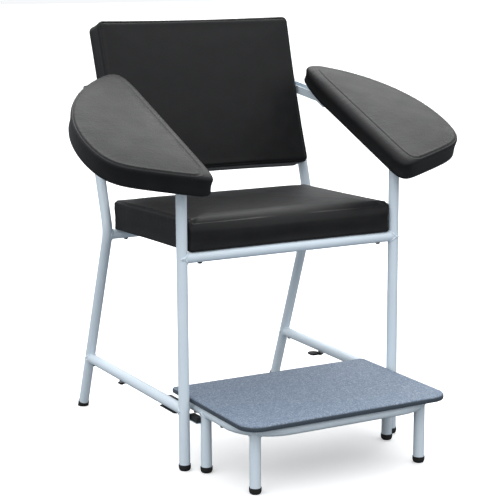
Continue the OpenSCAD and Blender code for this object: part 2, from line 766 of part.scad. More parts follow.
// Outline of the step board, with round corners in front and tight ones behind
module step_shape(inset) {
    front_x = step_half - step_corner;
    rear_x = step_half - step_rear_corner;
    front_y = step_corner - step_reach;
    rear_y = step_back - step_rear_corner;
    translate([inset - step_half, front_y]) square([(step_half - inset)*2, rear_y - front_y]);
    translate([-front_x, inset - step_reach]) square([front_x*2, step_corner - inset]);
    translate([-rear_x, rear_y]) square([rear_x*2, step_rear_corner - inset]);
    for (s = [-1, 1]) {
        translate([s*front_x, front_y]) circle(r=step_corner - inset, $fn=96);
        translate([s*rear_x, rear_y]) circle(r=step_rear_corner - inset, $fn=96);
    }
}

module step_board() {
    color(black_colour) difference() {
        step_place(0, 0, step_h - step_t) linear_extrude(step_t - mat_t) step_shape(0);
        step_screw_places() cylinder(h=tube_r + (step_t - mat_t)*0.7, r=screw_r + hole_gap);
    }
}

module step_mat() {
    color("#8593a5") step_place(0, 0, step_h - mat_t) linear_extrude(mat_t) step_shape(mat_inset);
}
mat_inset = 2;

module step_screws() {
    color(black_colour) step_screw_places() translate([0, 0, -tube_r])
        screw(tube_d + (step_t - mat_t)*0.7 - over/2);
}

// Tabs on the rear legs of the step, each carrying a block that runs along the chair's leg
module step_guide_tabs() {
    color(frame_colour) difference() {
        for (s = [-1, 1]) mirror([s < 0 ? 1 : 0, 0, 0])
            step_place(step_tube_half, step_leg_run, guide_block_top - guide_block_h - guide_tab_t)
                cube([guide_tab_w, guide_block_l, guide_tab_t]);
        step_leg_places() cylinder(h=step_tube_h, r=cope_r);
    }
}

module step_guide_blocks() {
    color(black_colour) difference() {
        for (s = [-1, 1]) mirror([s < 0 ? 1 : 0, 0, 0])
            step_place(guide_block_x - guide_block_w, step_leg_run, guide_block_top - guide_block_h)
                cube([guide_block_w, guide_block_l, guide_block_h]);
        step_leg_places() cylinder(h=step_tube_h, r=cope_r);
    }
}

// Nylon strips on the insides of the side rails: each has a side above the step's guide block
// and a foot under the rail, where two screws hold it
module rail_guide_strips() {
    foot = tube_r + strip_foot_t;
    color(black_colour) for (side = [-1, 1]) rail_place(side) difference() {
        translate([0, strip_run - strip_l/2, 0]) rotate([-90, 0, 0]) linear_extrude(strip_l) {
            translate([-tube_r - strip_t, -strip_h/2]) square([strip_t + tube_r/2, strip_h]);
            translate([-tube_r, -strip_h/2]) square([tube_r/2, strip_h/2 + foot]);
            translate([-tube_r, tube_r + cope_gap]) square([tube_d - strip_foot_t, strip_foot_t - cope_gap]);
        }
        rotate([-90, 0, 0]) cylinder(h=side_rail_run, r=tube_r);
        guide_screw_places() translate([0, 0, -tube_r]) cylinder(h=tube_r*2, r=screw_r + hole_gap);
    }
}

module rail_guide_screws() {
    color(black_colour) for (side = [-1, 1]) rail_place(side) guide_screw_places()
        translate([0, 0, over - strip_foot_t]) screw(strip_foot_t + tube_wall*3);
}

module rail_end_screws() {
    color(black_colour) for (side = [-1, 1]) rail_place(side) end_screw_place()
        translate([0, 0, over]) screw(tube_wall*3);
}

// Short arms under the side rails with rubber discs that stop the step
stop_arm_top = -tube_r - stop_spacer_h;
module stop_arms() {
    color(black_colour) for (side = [-1, 1]) rail_place(side) difference() {
        translate([0, stop_run, stop_arm_top - stop_arm_t]) linear_extrude(stop_arm_t) {
            translate([-stop_in, -stop_arm_w/2]) square([stop_in, stop_arm_w]);
            for (x = [0, -stop_in]) translate([x, 0]) circle(r=stop_arm_w/2);
        }
        translate([0, stop_run, -tube_d*2]) cylinder(h=tube_d*2, r=screw_r + hole_gap);
    }
}

module stop_spacers() {
    color(zinc_colour) for (side = [-1, 1]) rail_place(side) translate([0, stop_run, stop_arm_top])
        difference() {
            cylinder(h=stop_spacer_h, r=screw_head_r);
            translate([0, 0, -over]) cylinder(h=stop_spacer_h + over*2, r=screw_r + hole_gap);
        }
}

module stop_screws() {
    color(black_colour) for (side = [-1, 1]) rail_place(side)
        translate([0, stop_run, stop_arm_top - stop_arm_t])
            screw(stop_arm_t + stop_spacer_h + tube_wall*3);
}

module stop_discs() {
    color(black_colour) for (side = [-1, 1]) rail_place(side)
        translate([-stop_in, stop_run, stop_arm_top]) stop_disc();
}
module stop_disc() {
    round_r = stop_disc_t/3;
    rim = stop_d/2;
    rotate_extrude() polygon(concat([[0, 0], [rim - round_r, 0]],
        [for (a = [-60:30:0]) [rim - round_r + round_r*cos(a), round_r + round_r*sin(a)]],
        [for (a = [0:30:60]) [rim - round_r + round_r*cos(a), stop_disc_t - round_r*2 + round_r*sin(a)]],
        [[rim - round_r*2, stop_disc_t - round_r], [0, stop_disc_t - round_r]]));
}

front_leg(-1);  // left_front_leg
front_leg(1);  // right_front_leg
rear_leg(-1);  // left_rear_leg
rear_leg(1);  // right_rear_leg
side_rail(-1);  // left_side_rail
side_rail(1);  // right_side_rail
front_seat_rail();
rear_seat_rail();
lower_back_rail();
upper_back_rail();
front_foot_plugs();
rear_foot_plugs();
upright_caps();
arm_saddles();
seat_board();
seat_cushion();
seat_screws();
back_board();
back_cushion();
back_screws();
arm_tube(-1);  // left_arm_tube
arm_tube(1);  // right_arm_tube
arm_hinge_plates(-1);  // left_arm_hinge_plates
arm_hinge_plates(1);  // right_arm_hinge_plates
arm_mount_plates(-1);  // left_arm_mount_plates
arm_mount_plates(1);  // right_arm_mount_plates
arm_board(-1);  // left_arm_board
arm_board(1);  // right_arm_board
arm_pad(-1);  // left_arm_pad
arm_pad(1);  // right_arm_pad
arm_screws(-1);  // left_arm_screws
arm_screws(1);  // right_arm_screws
arm_tube_plugs(-1);  // left_arm_tube_plugs
arm_tube_plugs(1);  // right_arm_tube_plugs
pivot_bolt(-1);  // left_pivot_bolt
pivot_bolt(1);  // right_pivot_bolt
pivot_nut(-1);  // left_pivot_nut
pivot_nut(1);  // right_pivot_nut
step_frame();
step_legs();
step_foot_plugs();
step_board();
step_mat();
step_screws();
step_guide_tabs();
step_guide_blocks();
rail_guide_strips();
rail_guide_screws();
rail_end_screws();
stop_arms();
stop_spacers();
stop_discs();
stop_screws();
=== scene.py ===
"""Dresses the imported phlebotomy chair: vinyl seat, back and arm pads, powder-coated tube, step."""

import json
import math

import bpy
import numpy as np
from mathutils import Matrix, Vector


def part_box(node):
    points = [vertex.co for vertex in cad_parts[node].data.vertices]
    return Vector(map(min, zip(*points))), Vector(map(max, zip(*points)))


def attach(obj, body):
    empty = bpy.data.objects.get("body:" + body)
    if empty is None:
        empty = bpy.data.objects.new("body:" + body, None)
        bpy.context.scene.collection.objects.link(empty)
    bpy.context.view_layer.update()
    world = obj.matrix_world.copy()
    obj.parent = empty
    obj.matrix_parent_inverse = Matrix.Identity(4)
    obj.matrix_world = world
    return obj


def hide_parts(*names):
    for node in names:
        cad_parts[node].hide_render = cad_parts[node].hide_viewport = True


bl_info = {
    "name": "Phlebotomy chair",
    "version": (1, 0, 0),
    "blender": (4, 5, 0),
    "location": "3D View > Sidebar > Chair",
    "description": "Upholstery, welds, a speckled step and finishes for a blood-draw chair",
    "category": "Add Mesh",
}

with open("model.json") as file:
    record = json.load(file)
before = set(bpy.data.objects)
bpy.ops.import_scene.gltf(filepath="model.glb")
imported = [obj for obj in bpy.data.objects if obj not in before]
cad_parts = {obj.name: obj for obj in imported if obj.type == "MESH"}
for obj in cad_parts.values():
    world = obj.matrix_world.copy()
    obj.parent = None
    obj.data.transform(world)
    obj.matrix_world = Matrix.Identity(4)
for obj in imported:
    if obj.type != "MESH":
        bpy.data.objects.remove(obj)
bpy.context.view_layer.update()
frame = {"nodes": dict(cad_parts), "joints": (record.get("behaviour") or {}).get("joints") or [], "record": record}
MM = 0.001
SIDES = {"left": -1, "right": 1}


def middle(node):
    """The middle of a CAD node's box, in metres."""
    low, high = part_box(node)
    return np.array((low + high) / 2)


# Places that come from the frame

LEG_RUN = middle("left_front_leg")[1]  # y of the front legs, which the other places run from
FRONT_X = middle("right_front_leg")[0]
TUBE_R = (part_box("right_front_leg")[1].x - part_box("right_front_leg")[0].x) / 2
REAR_X = middle("right_rear_leg")[0]
SEAT_RAIL = middle("front_seat_rail")
REAR_RAIL = middle("rear_seat_rail")
SIDE_RAIL_Z = middle("right_side_rail")[2]
SEAT_TILT = math.atan2(SEAT_RAIL[2] - REAR_RAIL[2], REAR_RAIL[1] - SEAT_RAIL[1])
JOINTS = {joint["name"]: joint for joint in frame["joints"]}
PIVOT = np.array(JOINTS["right_arm_lift"]["pos_m"])
LOW_BACK = middle("lower_back_rail")
HIGH_BACK = middle("upper_back_rail")
BACK_RAIL_R = (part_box("lower_back_rail")[1].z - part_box("lower_back_rail")[0].z) / 2
RECLINE = math.atan2(HIGH_BACK[1] - LOW_BACK[1], HIGH_BACK[2] - LOW_BACK[2])


def turn(axis, angle):
    """The 3x3 matrix that turns a column about a main axis."""
    c, s = math.cos(angle), math.sin(angle)
    i, j = [(1, 2), (2, 0), (0, 1)]["XYZ".index(axis)]
    matrix = np.eye(3)
    matrix[i, i], matrix[i, j], matrix[j, i], matrix[j, j] = c, -s, s, c
    return matrix


class Place:
    """A piece's own frame: a point p in it lies at origin + p turned by the matrix."""

    def __init__(self, origin, matrix):
        self.origin = np.array(origin, float)
        self.matrix = np.array(matrix, float)

    def put(self, points):
        return np.asarray(points, float) @ self.matrix.T + self.origin


def seat_place():
    """The seat's own frame: on the rails' tops over the front rail, +Y to the rear."""
    matrix = turn("X", -SEAT_TILT)
    return Place(SEAT_RAIL + matrix @ [0, 0, TUBE_R], matrix)


def back_place(sizes):
    """The back's own frame: on the fronts of its rails beside the leg's bend, +Y up along
    the uprights, +Z to the front."""
    matrix = turn("X", math.pi / 2 - RECLINE)
    along = matrix @ [0, 1, 0]
    bend = LOW_BACK - along * sizes.low_rail
    return Place([0, *bend[1:]] + matrix @ [0, 0, BACK_RAIL_R], matrix)


def arm_place(side, sizes):
    """An arm's own frame: on the arm tube's axis over the front leg, +X outwards, +Y to the
    rear along the slope, +Z square to the pad. The left one is the right one mirrored."""
    yaw = math.atan2(REAR_X - FRONT_X, PIVOT[1] - LEG_RUN)
    matrix = turn("Z", -yaw) @ turn("X", sizes.slope)
    mirror = np.diag([side, 1, 1])
    return Place([side * FRONT_X, LEG_RUN, sizes.axis_height], mirror @ matrix)


# Surfaces

def unit(vectors):
    """The vectors at length 1."""
    return vectors / np.linalg.norm(vectors, axis=-1, keepdims=True)


def full_turn(count):
    """count angles at even steps round a full turn."""
    return np.linspace(0, 2 * math.pi, count, endpoint=False)


def on_circle(angles):
    """The points of the unit circle at the angles given."""
    return np.stack([np.cos(angles), np.sin(angles)], axis=-1)


def looped(points):
    """A closed line with its first point again at its end."""
    return np.vstack([points, points[:1]])


def run_along(line):
    """How far along a line each of its points lies."""
    return np.r_[0, np.cumsum(np.linalg.norm(np.diff(line, axis=0), axis=1))]


def ripple(points, wavelength, seed, stretch=(1, 1, 1)):
    """Smooth noise from -1 to 1: the sum of ten plane waves of random direction and phase,
    with wavelengths within a third of the one given. stretch lengthens them along an axis."""
    rng = np.random.default_rng(seed)
    waves = rng.normal(size=(10, 3))
    waves /= np.linalg.norm(waves, axis=1)[:, None] * np.array(stretch)
    waves *= (2 * math.pi / (wavelength * rng.uniform(0.75, 1.35, 10)))[:, None]
    phases = rng.uniform(0, 2 * math.pi, 10)
    return np.sin(np.asarray(points) @ waves.T + phases).sum(axis=1) / 5


def resample(points, count):
    """count points at even steps along a closed line."""
    closed = looped(points)
    steps = run_along(closed)
    at = np.linspace(0, steps[-1], count, endpoint=False)
    return np.column_stack([np.interp(at, steps, closed[:, k]) for k in range(closed.shape[1])])


def outward(outline):
    """Unit normals of a closed counter-clockwise outline in the plane."""
    along = unit(np.roll(outline, -1, axis=0) - np.roll(outline, 1, axis=0))
    return np.column_stack([along[:, 1], -along[:, 0]])


def grid_normals(rows):
    """Unit normals of a grid of rows of points, each row closed on itself."""
    around = np.roll(rows, -1, axis=1) - np.roll(rows, 1, axis=1)
    down = np.gradient(rows, axis=0)
    normals = np.cross(down, around)
    return normals / np.maximum(np.linalg.norm(normals, axis=2), 1e-12)[:, :, None]


def smooth_mesh(name, points, faces, materials=(), face_material=None):
    """A smooth-shaded object at the origin. faces is an array of quads, or of triangles, and
    face_material gives each face's place in materials."""
    mesh = bpy.data.meshes.new(name)
    faces = np.asarray(faces, np.int32)
    sides = faces.shape[1]
    mesh.vertices.add(len(points))
    mesh.vertices.foreach_set("co", np.asarray(points, np.float32).ravel())
    mesh.loops.add(faces.size)
    mesh.loops.foreach_set("vertex_index", faces.ravel())
    mesh.polygons.add(len(faces))
    mesh.polygons.foreach_set("loop_start", np.arange(0, faces.size, sides, dtype=np.int32))
    mesh.polygons.foreach_set("use_smooth", np.ones(len(faces), bool))
    for material in materials:
        mesh.materials.append(material)
    if face_material is not None:
        mesh.polygons.foreach_set("material_index", np.asarray(face_material, np.int32))
    mesh.update(calc_edges=True)
    mesh.validate()
    made = bpy.data.objects.new(name, mesh)
    bpy.context.scene.collection.objects.link(made)
    return made


def swept_tube(path, radius, sides):
    """Points and quads of a tube along a closed path: a circle in the plane square to the
    path at each point, its first axis turned away from the middle of the path."""
    ahead = unit(np.roll(path, -1, axis=0) - np.roll(path, 1, axis=0))
    out = path - path.mean(axis=0)
    out = unit(out - (out * ahead).sum(axis=1)[:, None] * ahead)
    up = np.cross(ahead, out)
    angle = full_turn(sides)
    points = path[:, None] + radius[:, None, None] * (
        np.cos(angle)[:, None] * out[:, None] + np.sin(angle)[:, None] * up[:, None])
    i, j = np.meshgrid(np.arange(len(path)), np.arange(sides), indexing="ij")
    ni, nj = (i + 1) % len(path), (j + 1) % sides
    quads = np.stack([i * sides + j, ni * sides + j, ni * sides + nj, i * sides + nj], axis=-1)
    return points.reshape(-1, 3), quads.reshape(-1, 4)


def joined(parts):
    """Several (points, faces) pairs as one."""
    points, faces, start = [], [], 0
    for p, f in parts:
        points.append(p)
        faces.append(np.asarray(f) + start)
        start += len(p)
    return np.vstack(points), np.vstack(faces)


def stitches(path, normals, pitch, length, thickness):
    """A row of stitches along a closed path: each a bead of thread whose section is a circle
    that swells by sqrt(1 - t^2) from a quarter at its ends, arched by 1 - t^2 over the
    surface."""
    steps = run_along(looped(path))
    count = int(round(steps[-1] / pitch))
    middles = (np.arange(count) + 0.5) * steps[-1] / count

    def at(distance, values):
        values, distance = looped(values), distance % steps[-1]
        return np.stack([np.interp(distance, steps, values[:, k]) for k in range(3)], axis=-1)

    t = np.linspace(-1, 1, 6)  # six rows of six points to a stitch
    along = middles[:, None] + t[None, :] * length / 2
    up = unit(at(along, normals))
    ahead = unit(at(along + length * 0.05, path) - at(along - length * 0.05, path))
    across = np.cross(up, ahead)
    arch = thickness * 0.25 * (1 - t ** 2) - thickness * 0.1
    spine = at(along, path) + up * arch[None, :, None]
    angle = full_turn(6)
    radius = thickness / 2 * (np.sqrt(np.maximum(1 - t ** 2, 0.0)) * 0.75 + 0.25)
    points = spine[:, :, None] + radius[None, :, None, None] * (
        np.cos(angle)[:, None] * across[:, :, None] + np.sin(angle)[:, None] * up[:, :, None])
    n, m, s = points.shape[:3]
    stitch, k, j = np.meshgrid(np.arange(n), np.arange(m - 1), np.arange(s), indexing="ij")
    base = (stitch * m + k) * s
    a, b = base + j, base + (j + 1) % s
    walls = np.stack([a, b, b + s, a + s], axis=-1).reshape(-1, 4)
    first = np.arange(n)[:, None] * m * s
    end = first + (m - 1) * s
    caps = np.vstack([first + [0, 5, 4, 3], first + [0, 3, 2, 1],
                      end + [0, 1, 2, 3], end + [0, 3, 4, 5]])
    return points.reshape(-1, 3), np.vstack([walls, caps])


# Materials

def linear(colour):
    """An sRGB hex colour such as #c3d1db as linear red, green, blue and alpha."""
    parts = [int(colour[i:i + 2], 16) / 255 for i in (1, 3, 5)]
    return (*[c / 12.92 if c <= 0.04045 else ((c + 0.055) / 1.055) ** 2.4 for c in parts], 1.0)


def join(tree, node, sockets):
    """Sets a node's inputs, by name or number, or links them where a socket is given."""
    for name, value in sockets.items():
        if isinstance(value, bpy.types.NodeSocket):
            tree.links.new(value, node.inputs[name])
        else:
            node.inputs[name].default_value = value


def add_node(tree, kind, sockets=None, **settings):
    """Adds a shader node, sets its settings, and sets or links its inputs."""
    made = tree.nodes.new("ShaderNode" + kind)
    for name, value in settings.items():
        setattr(made, name, value)
    join(tree, made, sockets or {})
    return made


def new_material(name):
    """An empty material: its node tree, its shader, already joined to the output, and the
    place on the object that its patterns read."""
    material = bpy.data.materials.new(name)
    material.use_nodes = True
    tree = material.node_tree
    tree.nodes.clear()
    shader = add_node(tree, "BsdfPrincipled")
    add_node(tree, "OutputMaterial", {"Surface": shader.outputs[0]})
    return material, tree, shader, add_node(tree, "TexCoord").outputs["Object"]


def period(size):
    """The scale of a texture whose features are this many metres across."""
    return 1 / size


def noise(tree, place, size, detail):
    """Noise from 0 to 1 whose features are this many metres across."""
    return add_node(tree, "TexNoise", {"Vector": place, "Scale": period(size),
                                       "Detail": detail}).outputs["Fac"]


def mixed(tree, share, first, second):
    """The first colour, or as much of the second as the share says."""
    return add_node(tree, "Mix", {0: share, "A": first, "B": second},
                    data_type="RGBA").outputs["Result"]


def ranged(tree, value, low, high, dim=0.0, bright=1.0):
    """What goes from dim to bright as the value goes from low to high."""
    return add_node(tree, "MapRange", {"Value": value, "From Min": low, "From Max": high,
                                       "To Min": dim, "To Max": bright}).outputs["Result"]


def bumped(tree, height, strength, depth):
    """The normal over a height from 0 to 1 that stands for this many metres."""
    return add_node(tree, "Bump", {"Height": height, "Strength": strength,
                                   "Distance": depth}).outputs["Normal"]


def powder_coated_steel(colours):
    """Polyester powder coat on steel tube: an even satin colour, barely clouded, over a fine
    orange peel of 1.6 mm."""
    material, tree, shader, place = new_material("powder_coated_steel")
    peel = noise(tree, place, 1.6 * MM, 2.0)
    cloud = noise(tree, place, 70 * MM, 3.0)
    tone = mixed(tree, cloud, linear(colours.coat_deep), linear(colours.coat))
    rough = ranged(tree, noise(tree, place, 6 * MM, 4.0), 0.0, 1.0, 0.3, 0.42)
    bump = bumped(tree, peel, 0.12, 0.15 * MM)
    join(tree, shader, {"Base Color": tone, "Roughness": rough, "Normal": bump,
                        "Coat Weight": 0.15, "Coat Roughness": 0.2})
    return material


def upholstery_vinyl(colours):
    """PVC-coated cloth with a calendered leather grain, satin, a little paler where it is
    rubbed. The real pebbles are about 1.3 mm; here they are 3 mm, so that they show."""
    material, tree, shader, place = new_material("upholstery_vinyl")
    warp = add_node(tree, "TexNoise", {"Vector": place, "Scale": period(3 * MM), "Detail": 1.0})
    bent = add_node(tree, "VectorMath", {0: warp.outputs["Color"], "Scale": 0.9 * MM},
                    operation="SCALE")
    moved = add_node(tree, "VectorMath", {0: place, 1: bent.outputs[0]}, operation="ADD")
    pebble = add_node(tree, "TexVoronoi", {"Vector": moved.outputs[0], "Scale": period(3.0 * MM)},
                      feature="SMOOTH_F1")
    height = add_node(tree, "Math", {0: noise(tree, place, 1.2 * MM, 2.0), 1: 0.35,
                                     2: pebble.outputs["Distance"]}, operation="MULTIPLY_ADD")
    cloud = noise(tree, place, 45 * MM, 5.0)
    tone = mixed(tree, ranged(tree, cloud, 0.3, 0.7), linear(colours.vinyl_deep),
                 linear(colours.vinyl))
    rough = ranged(tree, cloud, 0.3, 0.7, 0.46, 0.52)
    bump = bumped(tree, height.outputs[0], 0.5, 0.5 * MM)
    join(tree, shader, {"Base Color": tone, "Roughness": rough, "Normal": bump,
                        "Specular IOR Level": 0.2})
    return material


def plain_finish(name, colour, roughness, grain, depth, metallic=0.0, spread=0.06):
    """A moulded, plated or blackened finish: one colour that varies a little over 20 mm, with
    a bump of the given grain and depth in metres."""
    material, tree, shader, place = new_material(name)
    base = linear(colour)
    dark = tuple(c * (1 - spread * 3) for c in base[:3]) + (1.0,)
    cloud = noise(tree, place, 20 * MM, 4.0)
    tone = mixed(tree, cloud, dark, base)
    rough = ranged(tree, cloud, 0.3, 0.7, roughness - 0.05, roughness + 0.06)
    bump = bumped(tree, noise(tree, place, grain, 2.0), 0.3, depth)
    join(tree, shader, {"Base Color": tone, "Roughness": rough, "Normal": bump,
                        "Metallic": metallic})
    return material


def speckled_sheet(colours):
    """Calendered safety flooring: a blue-grey sheet with flecks of about 2 mm, paler and
    darker than the ground, over a fine grit of 0.9 mm that gives it grip."""
    material, tree, shader, place = new_material("speckled_step_sheet")
    flecks = add_node(tree, "TexVoronoi", {"Vector": place, "Scale": period(2.2 * MM)})
    chance = add_node(tree, "SeparateColor", {0: flecks.outputs["Color"]})
    pale = ranged(tree, chance.outputs[0], 0.62, 0.8)
    dark = ranged(tree, chance.outputs[1], 0.66, 0.84)
    cloud = noise(tree, place, 60 * MM, 4.0)
    tone = mixed(tree, cloud, linear(colours.step_shade), linear(colours.step))
    tone = mixed(tree, pale, tone, linear(colours.step_pale))
    tone = mixed(tree, dark, tone, linear(colours.step_dark))
    bump = bumped(tree, noise(tree, place, 0.9 * MM, 2.0), 0.4, 0.2 * MM)
    join(tree, shader, {"Base Color": tone, "Normal": bump, "Roughness": 0.62,
                        "Specular IOR Level": 0.35})
    return material


def backing_cloth(colours):
    """Black spun-bonded polypropylene stapled under the boards: a dimpled, matt cloth, its
    thermal dimples drawn 2.2 mm apart so that they show."""
    material, tree, shader, place = new_material("spun_bonded_backing")
    dimple = add_node(tree, "TexVoronoi", {"Vector": place, "Scale": period(2.2 * MM),
                                           "Randomness": 0.25})
    fibre = noise(tree, place, 4 * MM, 6.0)
    height = add_node(tree, "Math", {0: fibre, 1: 0.5, 2: dimple.outputs["Distance"]},
                      operation="MULTIPLY_ADD")
    base = linear(colours.backing)
    pale = tuple(min(1, c * 1.9) for c in base[:3]) + (1.0,)
    tone = mixed(tree, fibre, base, pale)
    bump = bumped(tree, height.outputs[0], 0.5, 0.3 * MM)
    join(tree, shader, {"Base Color": tone, "Normal": bump, "Roughness": 0.85})
    return material


# Plans of the cushions

class BoxPlan:
    """A four-sided plan with round corners, from its front left corner counter-clockwise. Its
    sides draw in by pull * sin(pi t), with t from 0 to 1 between two corners. A value given
    for it is (sides, ends), blended by how far the outline faces the front or the rear."""

    def __init__(self, half, depth, corner, pull, count):
        (h0, h1), (y0, y1), r = half, depth, corner
        centres = np.array([[-h0 + r, y0 + r], [h0 - r, y0 + r],
                            [h1 - r, y1 - r], [-h1 + r, y1 - r]])
        quarter = np.radians(np.linspace(0, 90, 41))
        angles = quarter[None, :] + np.radians([180, 270, 360, 450])[:, None]
        self.outline = resample((centres[:, None] + r * on_circle(angles)).reshape(-1, 2), count)
        self.normals = outward(self.outline)
        self.middle = np.array([0, (y0 + y1) / 2])
        facing = np.abs(self.normals[:, 1])
        self.end = np.clip((facing - 0.25) / 0.5, 0, 1)
        self.end = self.end ** 2 * (3 - 2 * self.end)
        x, y = self.outline.T
        over_ends = (x + min(h0, h1) - r) / (2 * (min(h0, h1) - r))
        over_sides = (y - y0 - r) / (y1 - y0 - 2 * r)
        t = np.clip(np.where(facing > 0.7, over_ends, over_sides), 0, 1)
        self.pull = pull * np.sin(math.pi * t)

    def blend(self, values):
        return values[0] * (1 - self.end) + values[1] * self.end

    def ring(self, values, pull=1.0):
        inset = self.blend(values) + self.pull * pull
        return self.outline - self.normals * inset[:, None]

    def recess(self, inset):
        return self.ring((inset, inset))


class ArmPlan:
    """The D of an arm pad: three walls met by a ray from the middle, whose distances d are
    joined by their p-norm, r = (sum of 1/d^p)^(-1/p), so that the corners between them are
    round. A value given for it is (straight inner edge, slanting front edge, outer arc)."""

    def __init__(self, sizes, count):
        self.sizes = sizes
        self.middle = np.array([(sizes.reach - sizes.inner) / 2, sizes.arc_run])
        even = full_turn(2880)
        self.rays = on_circle(even)
        steps = run_along(looped(self.ring((0, 0, 0))))
        at = np.linspace(0, steps[-1], count, endpoint=False)
        self.rays = on_circle(np.interp(at, steps, np.r_[even, 2 * math.pi]))
        self.outline = self.ring((0, 0, 0))
        self.normals = outward(self.outline)

    def walls(self, insets):
        s, (mx, my) = self.sizes, self.middle
        front = np.array([math.sin(s.front_angle), -math.cos(s.front_angle)])
        front_at = (my + s.front) * math.cos(s.front_angle) - mx * math.sin(s.front_angle)
        off = mx - s.reach + s.arc_radius
        b = self.rays[:, 0] * off
        radius = s.arc_radius - insets[2]
        return np.column_stack([
            np.maximum(0, -self.rays[:, 0]) / (mx + s.inner - insets[0]),
            np.maximum(0, self.rays @ front) / (front_at - insets[1]),
            1 / (-b + np.sqrt(b ** 2 + radius ** 2 - off ** 2))])

    def blend(self, values):
        shares = self.walls((0, 0, 0)) ** self.sizes.sharpness
        return (shares @ np.array(values)) / shares.sum(axis=1)

    def ring(self, values, pull=1.0):
        p = self.sizes.sharpness
        distance = (self.walls(values) ** p).sum(axis=1) ** (-1 / p)
        return self.middle + self.rays * distance[:, None]

    def recess(self, inset):
        return self.outline - self.rays * inset


PINCH = 1.2 * MM  # how far the middle of a side is drawn in
FIRST_ROWS = 0.012, 0.035  # the top's first two rows, as shares of the way out to the seam
FLOOR_ROWS = 0.8, 0.5, 0.2, 0.02  # the recess's rows, as shares of the way out to its lip
LOWER_EDGE = np.radians([22.5, 45, 67.5, 90])


def upholstered_rows(plan, roll, seam, height, crown, low, recess, hollow, gap, rows, skirt=0.0):
    """Rows of points from the middle of the top out to the seam, over the rolled edge, down
    the side, round the lower edge and up into the recess for the board. Between the seam and
    the wall the surface is a quarter circle of radius roll, and the top is raised by
    crown (1 - s^2)^1.5, with s from 0 in the middle to 1 at the wall. skirt is how far the
    lower edge hangs below the board. Also gives the number of the seam's row and that of
    the last row above the side."""
    top_rows, edge_rows, side_rows = rows
    radius = plan.blend(roll)
    wall = np.linalg.norm(plan.ring((0,) * len(roll)) - plan.middle, axis=1)
    cosine = ((plan.outline - plan.middle) * plan.normals).sum(axis=1) / wall

    def raised(points, inset, share):
        drop = radius - np.sqrt(np.maximum(radius ** 2 - np.maximum(radius - inset, 0) ** 2, 0))
        return np.column_stack([points, height + crown * (1 - share ** 2) ** 1.5 - drop])

    def flat(points, z):
        return np.column_stack([points, np.broadcast_to(z, len(points))])

    gap = gap - skirt
    seam_ring = plan.ring(seam)
    result = []
    for spread in np.r_[FIRST_ROWS[0], np.linspace(FIRST_ROWS[1], 1, top_rows)]:
        points = plan.middle + (seam_ring - plan.middle) * spread
        share = np.clip(np.linalg.norm(points - plan.middle, axis=1) / wall, 0, 1)
        result.append(raised(points, (1 - share) * wall * cosine, share))
    seam_row = len(result) - 1
    for a in np.linspace(0, math.pi / 2, edge_rows + 1)[1:]:
        inset = plan.blend(seam) * (1 - math.sin(a))
        share = np.clip(1 - inset / (wall * cosine), 0, 1)
        result.append(raised(plan.ring(np.array(seam) * (1 - math.sin(a))), inset, share))
    side_row = len(result) - 1
    for t in np.linspace(0, 1, side_rows + 1)[1:]:
        bulge = math.sin(math.pi * t)
        points = plan.ring((PINCH * bulge,) * len(roll), 1 + 0.6 * bulge)
        result.append(flat(points, (height - radius) * (1 - t) + (gap + low) * t))
    for a in LOWER_EDGE:
        inset = low * (1 - math.cos(a))
        result.append(flat(plan.ring((inset,) * len(roll)), gap + low * (1 - math.sin(a))))
    lip = plan.recess(recess)
    result += [flat(lip, gap), flat(lip, (gap + hollow) / 2), flat(lip, hollow)]
    result += [flat(plan.middle + (lip - plan.middle) * s, hollow) for s in FLOOR_ROWS]
    return np.array(result), seam_row, side_row


def shell_faces(count, width):
    """Triangles of a closed shell: count rows of width points, and a pole at each end."""
    k, j = np.meshgrid(np.arange(count - 1), np.arange(width), indexing="ij")
    here, there = k * width + j, k * width + (j + 1) % width
    ring = np.arange(width)
    after = (ring + 1) % width
    top, bottom, last = count * width, count * width + 1, (count - 1) * width
    return np.vstack([
        np.stack([here, here + width, there + width], axis=-1).reshape(-1, 3),
        np.stack([here, there + width, there], axis=-1).reshape(-1, 3),
        np.column_stack([np.full(width, top), ring, after]),
        np.column_stack([np.full(width, bottom), last + after, last + ring])])


def shell_points(rows):
    """The points of a closed shell: its rows and the middles of its first and last row."""
    return np.vstack([rows.reshape(-1, 3), rows[0].mean(axis=0), rows[-1].mean(axis=0)])


PATH_STEP = 1.2 * MM  # how finely a seam is divided to measure distances from it
SEAM_BATCH, CLOTH_BATCH = 4096, 2048  # points compared at once


def gaps_between(points, others):
    """The squared distance from each point to each of the others, in single precision."""
    return (points ** 2).sum(axis=1)[:, None] + (others ** 2).sum(axis=1)[None] \
        - 2 * points @ others.T


def nearest(points, path, closed):
    """For each point, its distance to a path and how far along the path the nearest of the
    path's points lies."""
    line = looped(path) if closed else path
    steps = run_along(line)
    at = np.linspace(0, steps[-1], int(steps[-1] / PATH_STEP))
    dense = np.column_stack([np.interp(at, steps, line[:, k]) for k in range(3)])
    dense = dense.astype(np.float32)
    distance, along = np.empty(len(points)), np.empty(len(points))
    for start in range(0, len(points), SEAM_BATCH):
        batch = slice(start, start + SEAM_BATCH)
        part = points[batch].astype(np.float32)
        index = gaps_between(part, dense).argmin(axis=1)
        distance[batch] = np.linalg.norm(part - dense[index], axis=1)
        along[batch] = at[index]
    return distance, along


def wavy(along, wavelength, seed):
    """Uneven waves along a line, from about -1 to 1."""
    rng = np.random.default_rng(seed)
    sizes = wavelength * rng.uniform(0.6, 1.7, 7)
    phases = rng.uniform(0, 2 * math.pi, 7)
    return np.sin(2 * math.pi * along[:, None] / sizes + phases).sum(axis=1) / 3.2


ROLL_SHARE = 0.3  # height of the roll beside a seam, in depths of its groove
ROLL_AT, ROLL_WIDTH, PUCKER_FROM = 2.4, 1.2, 1.5  # in widths of the groove


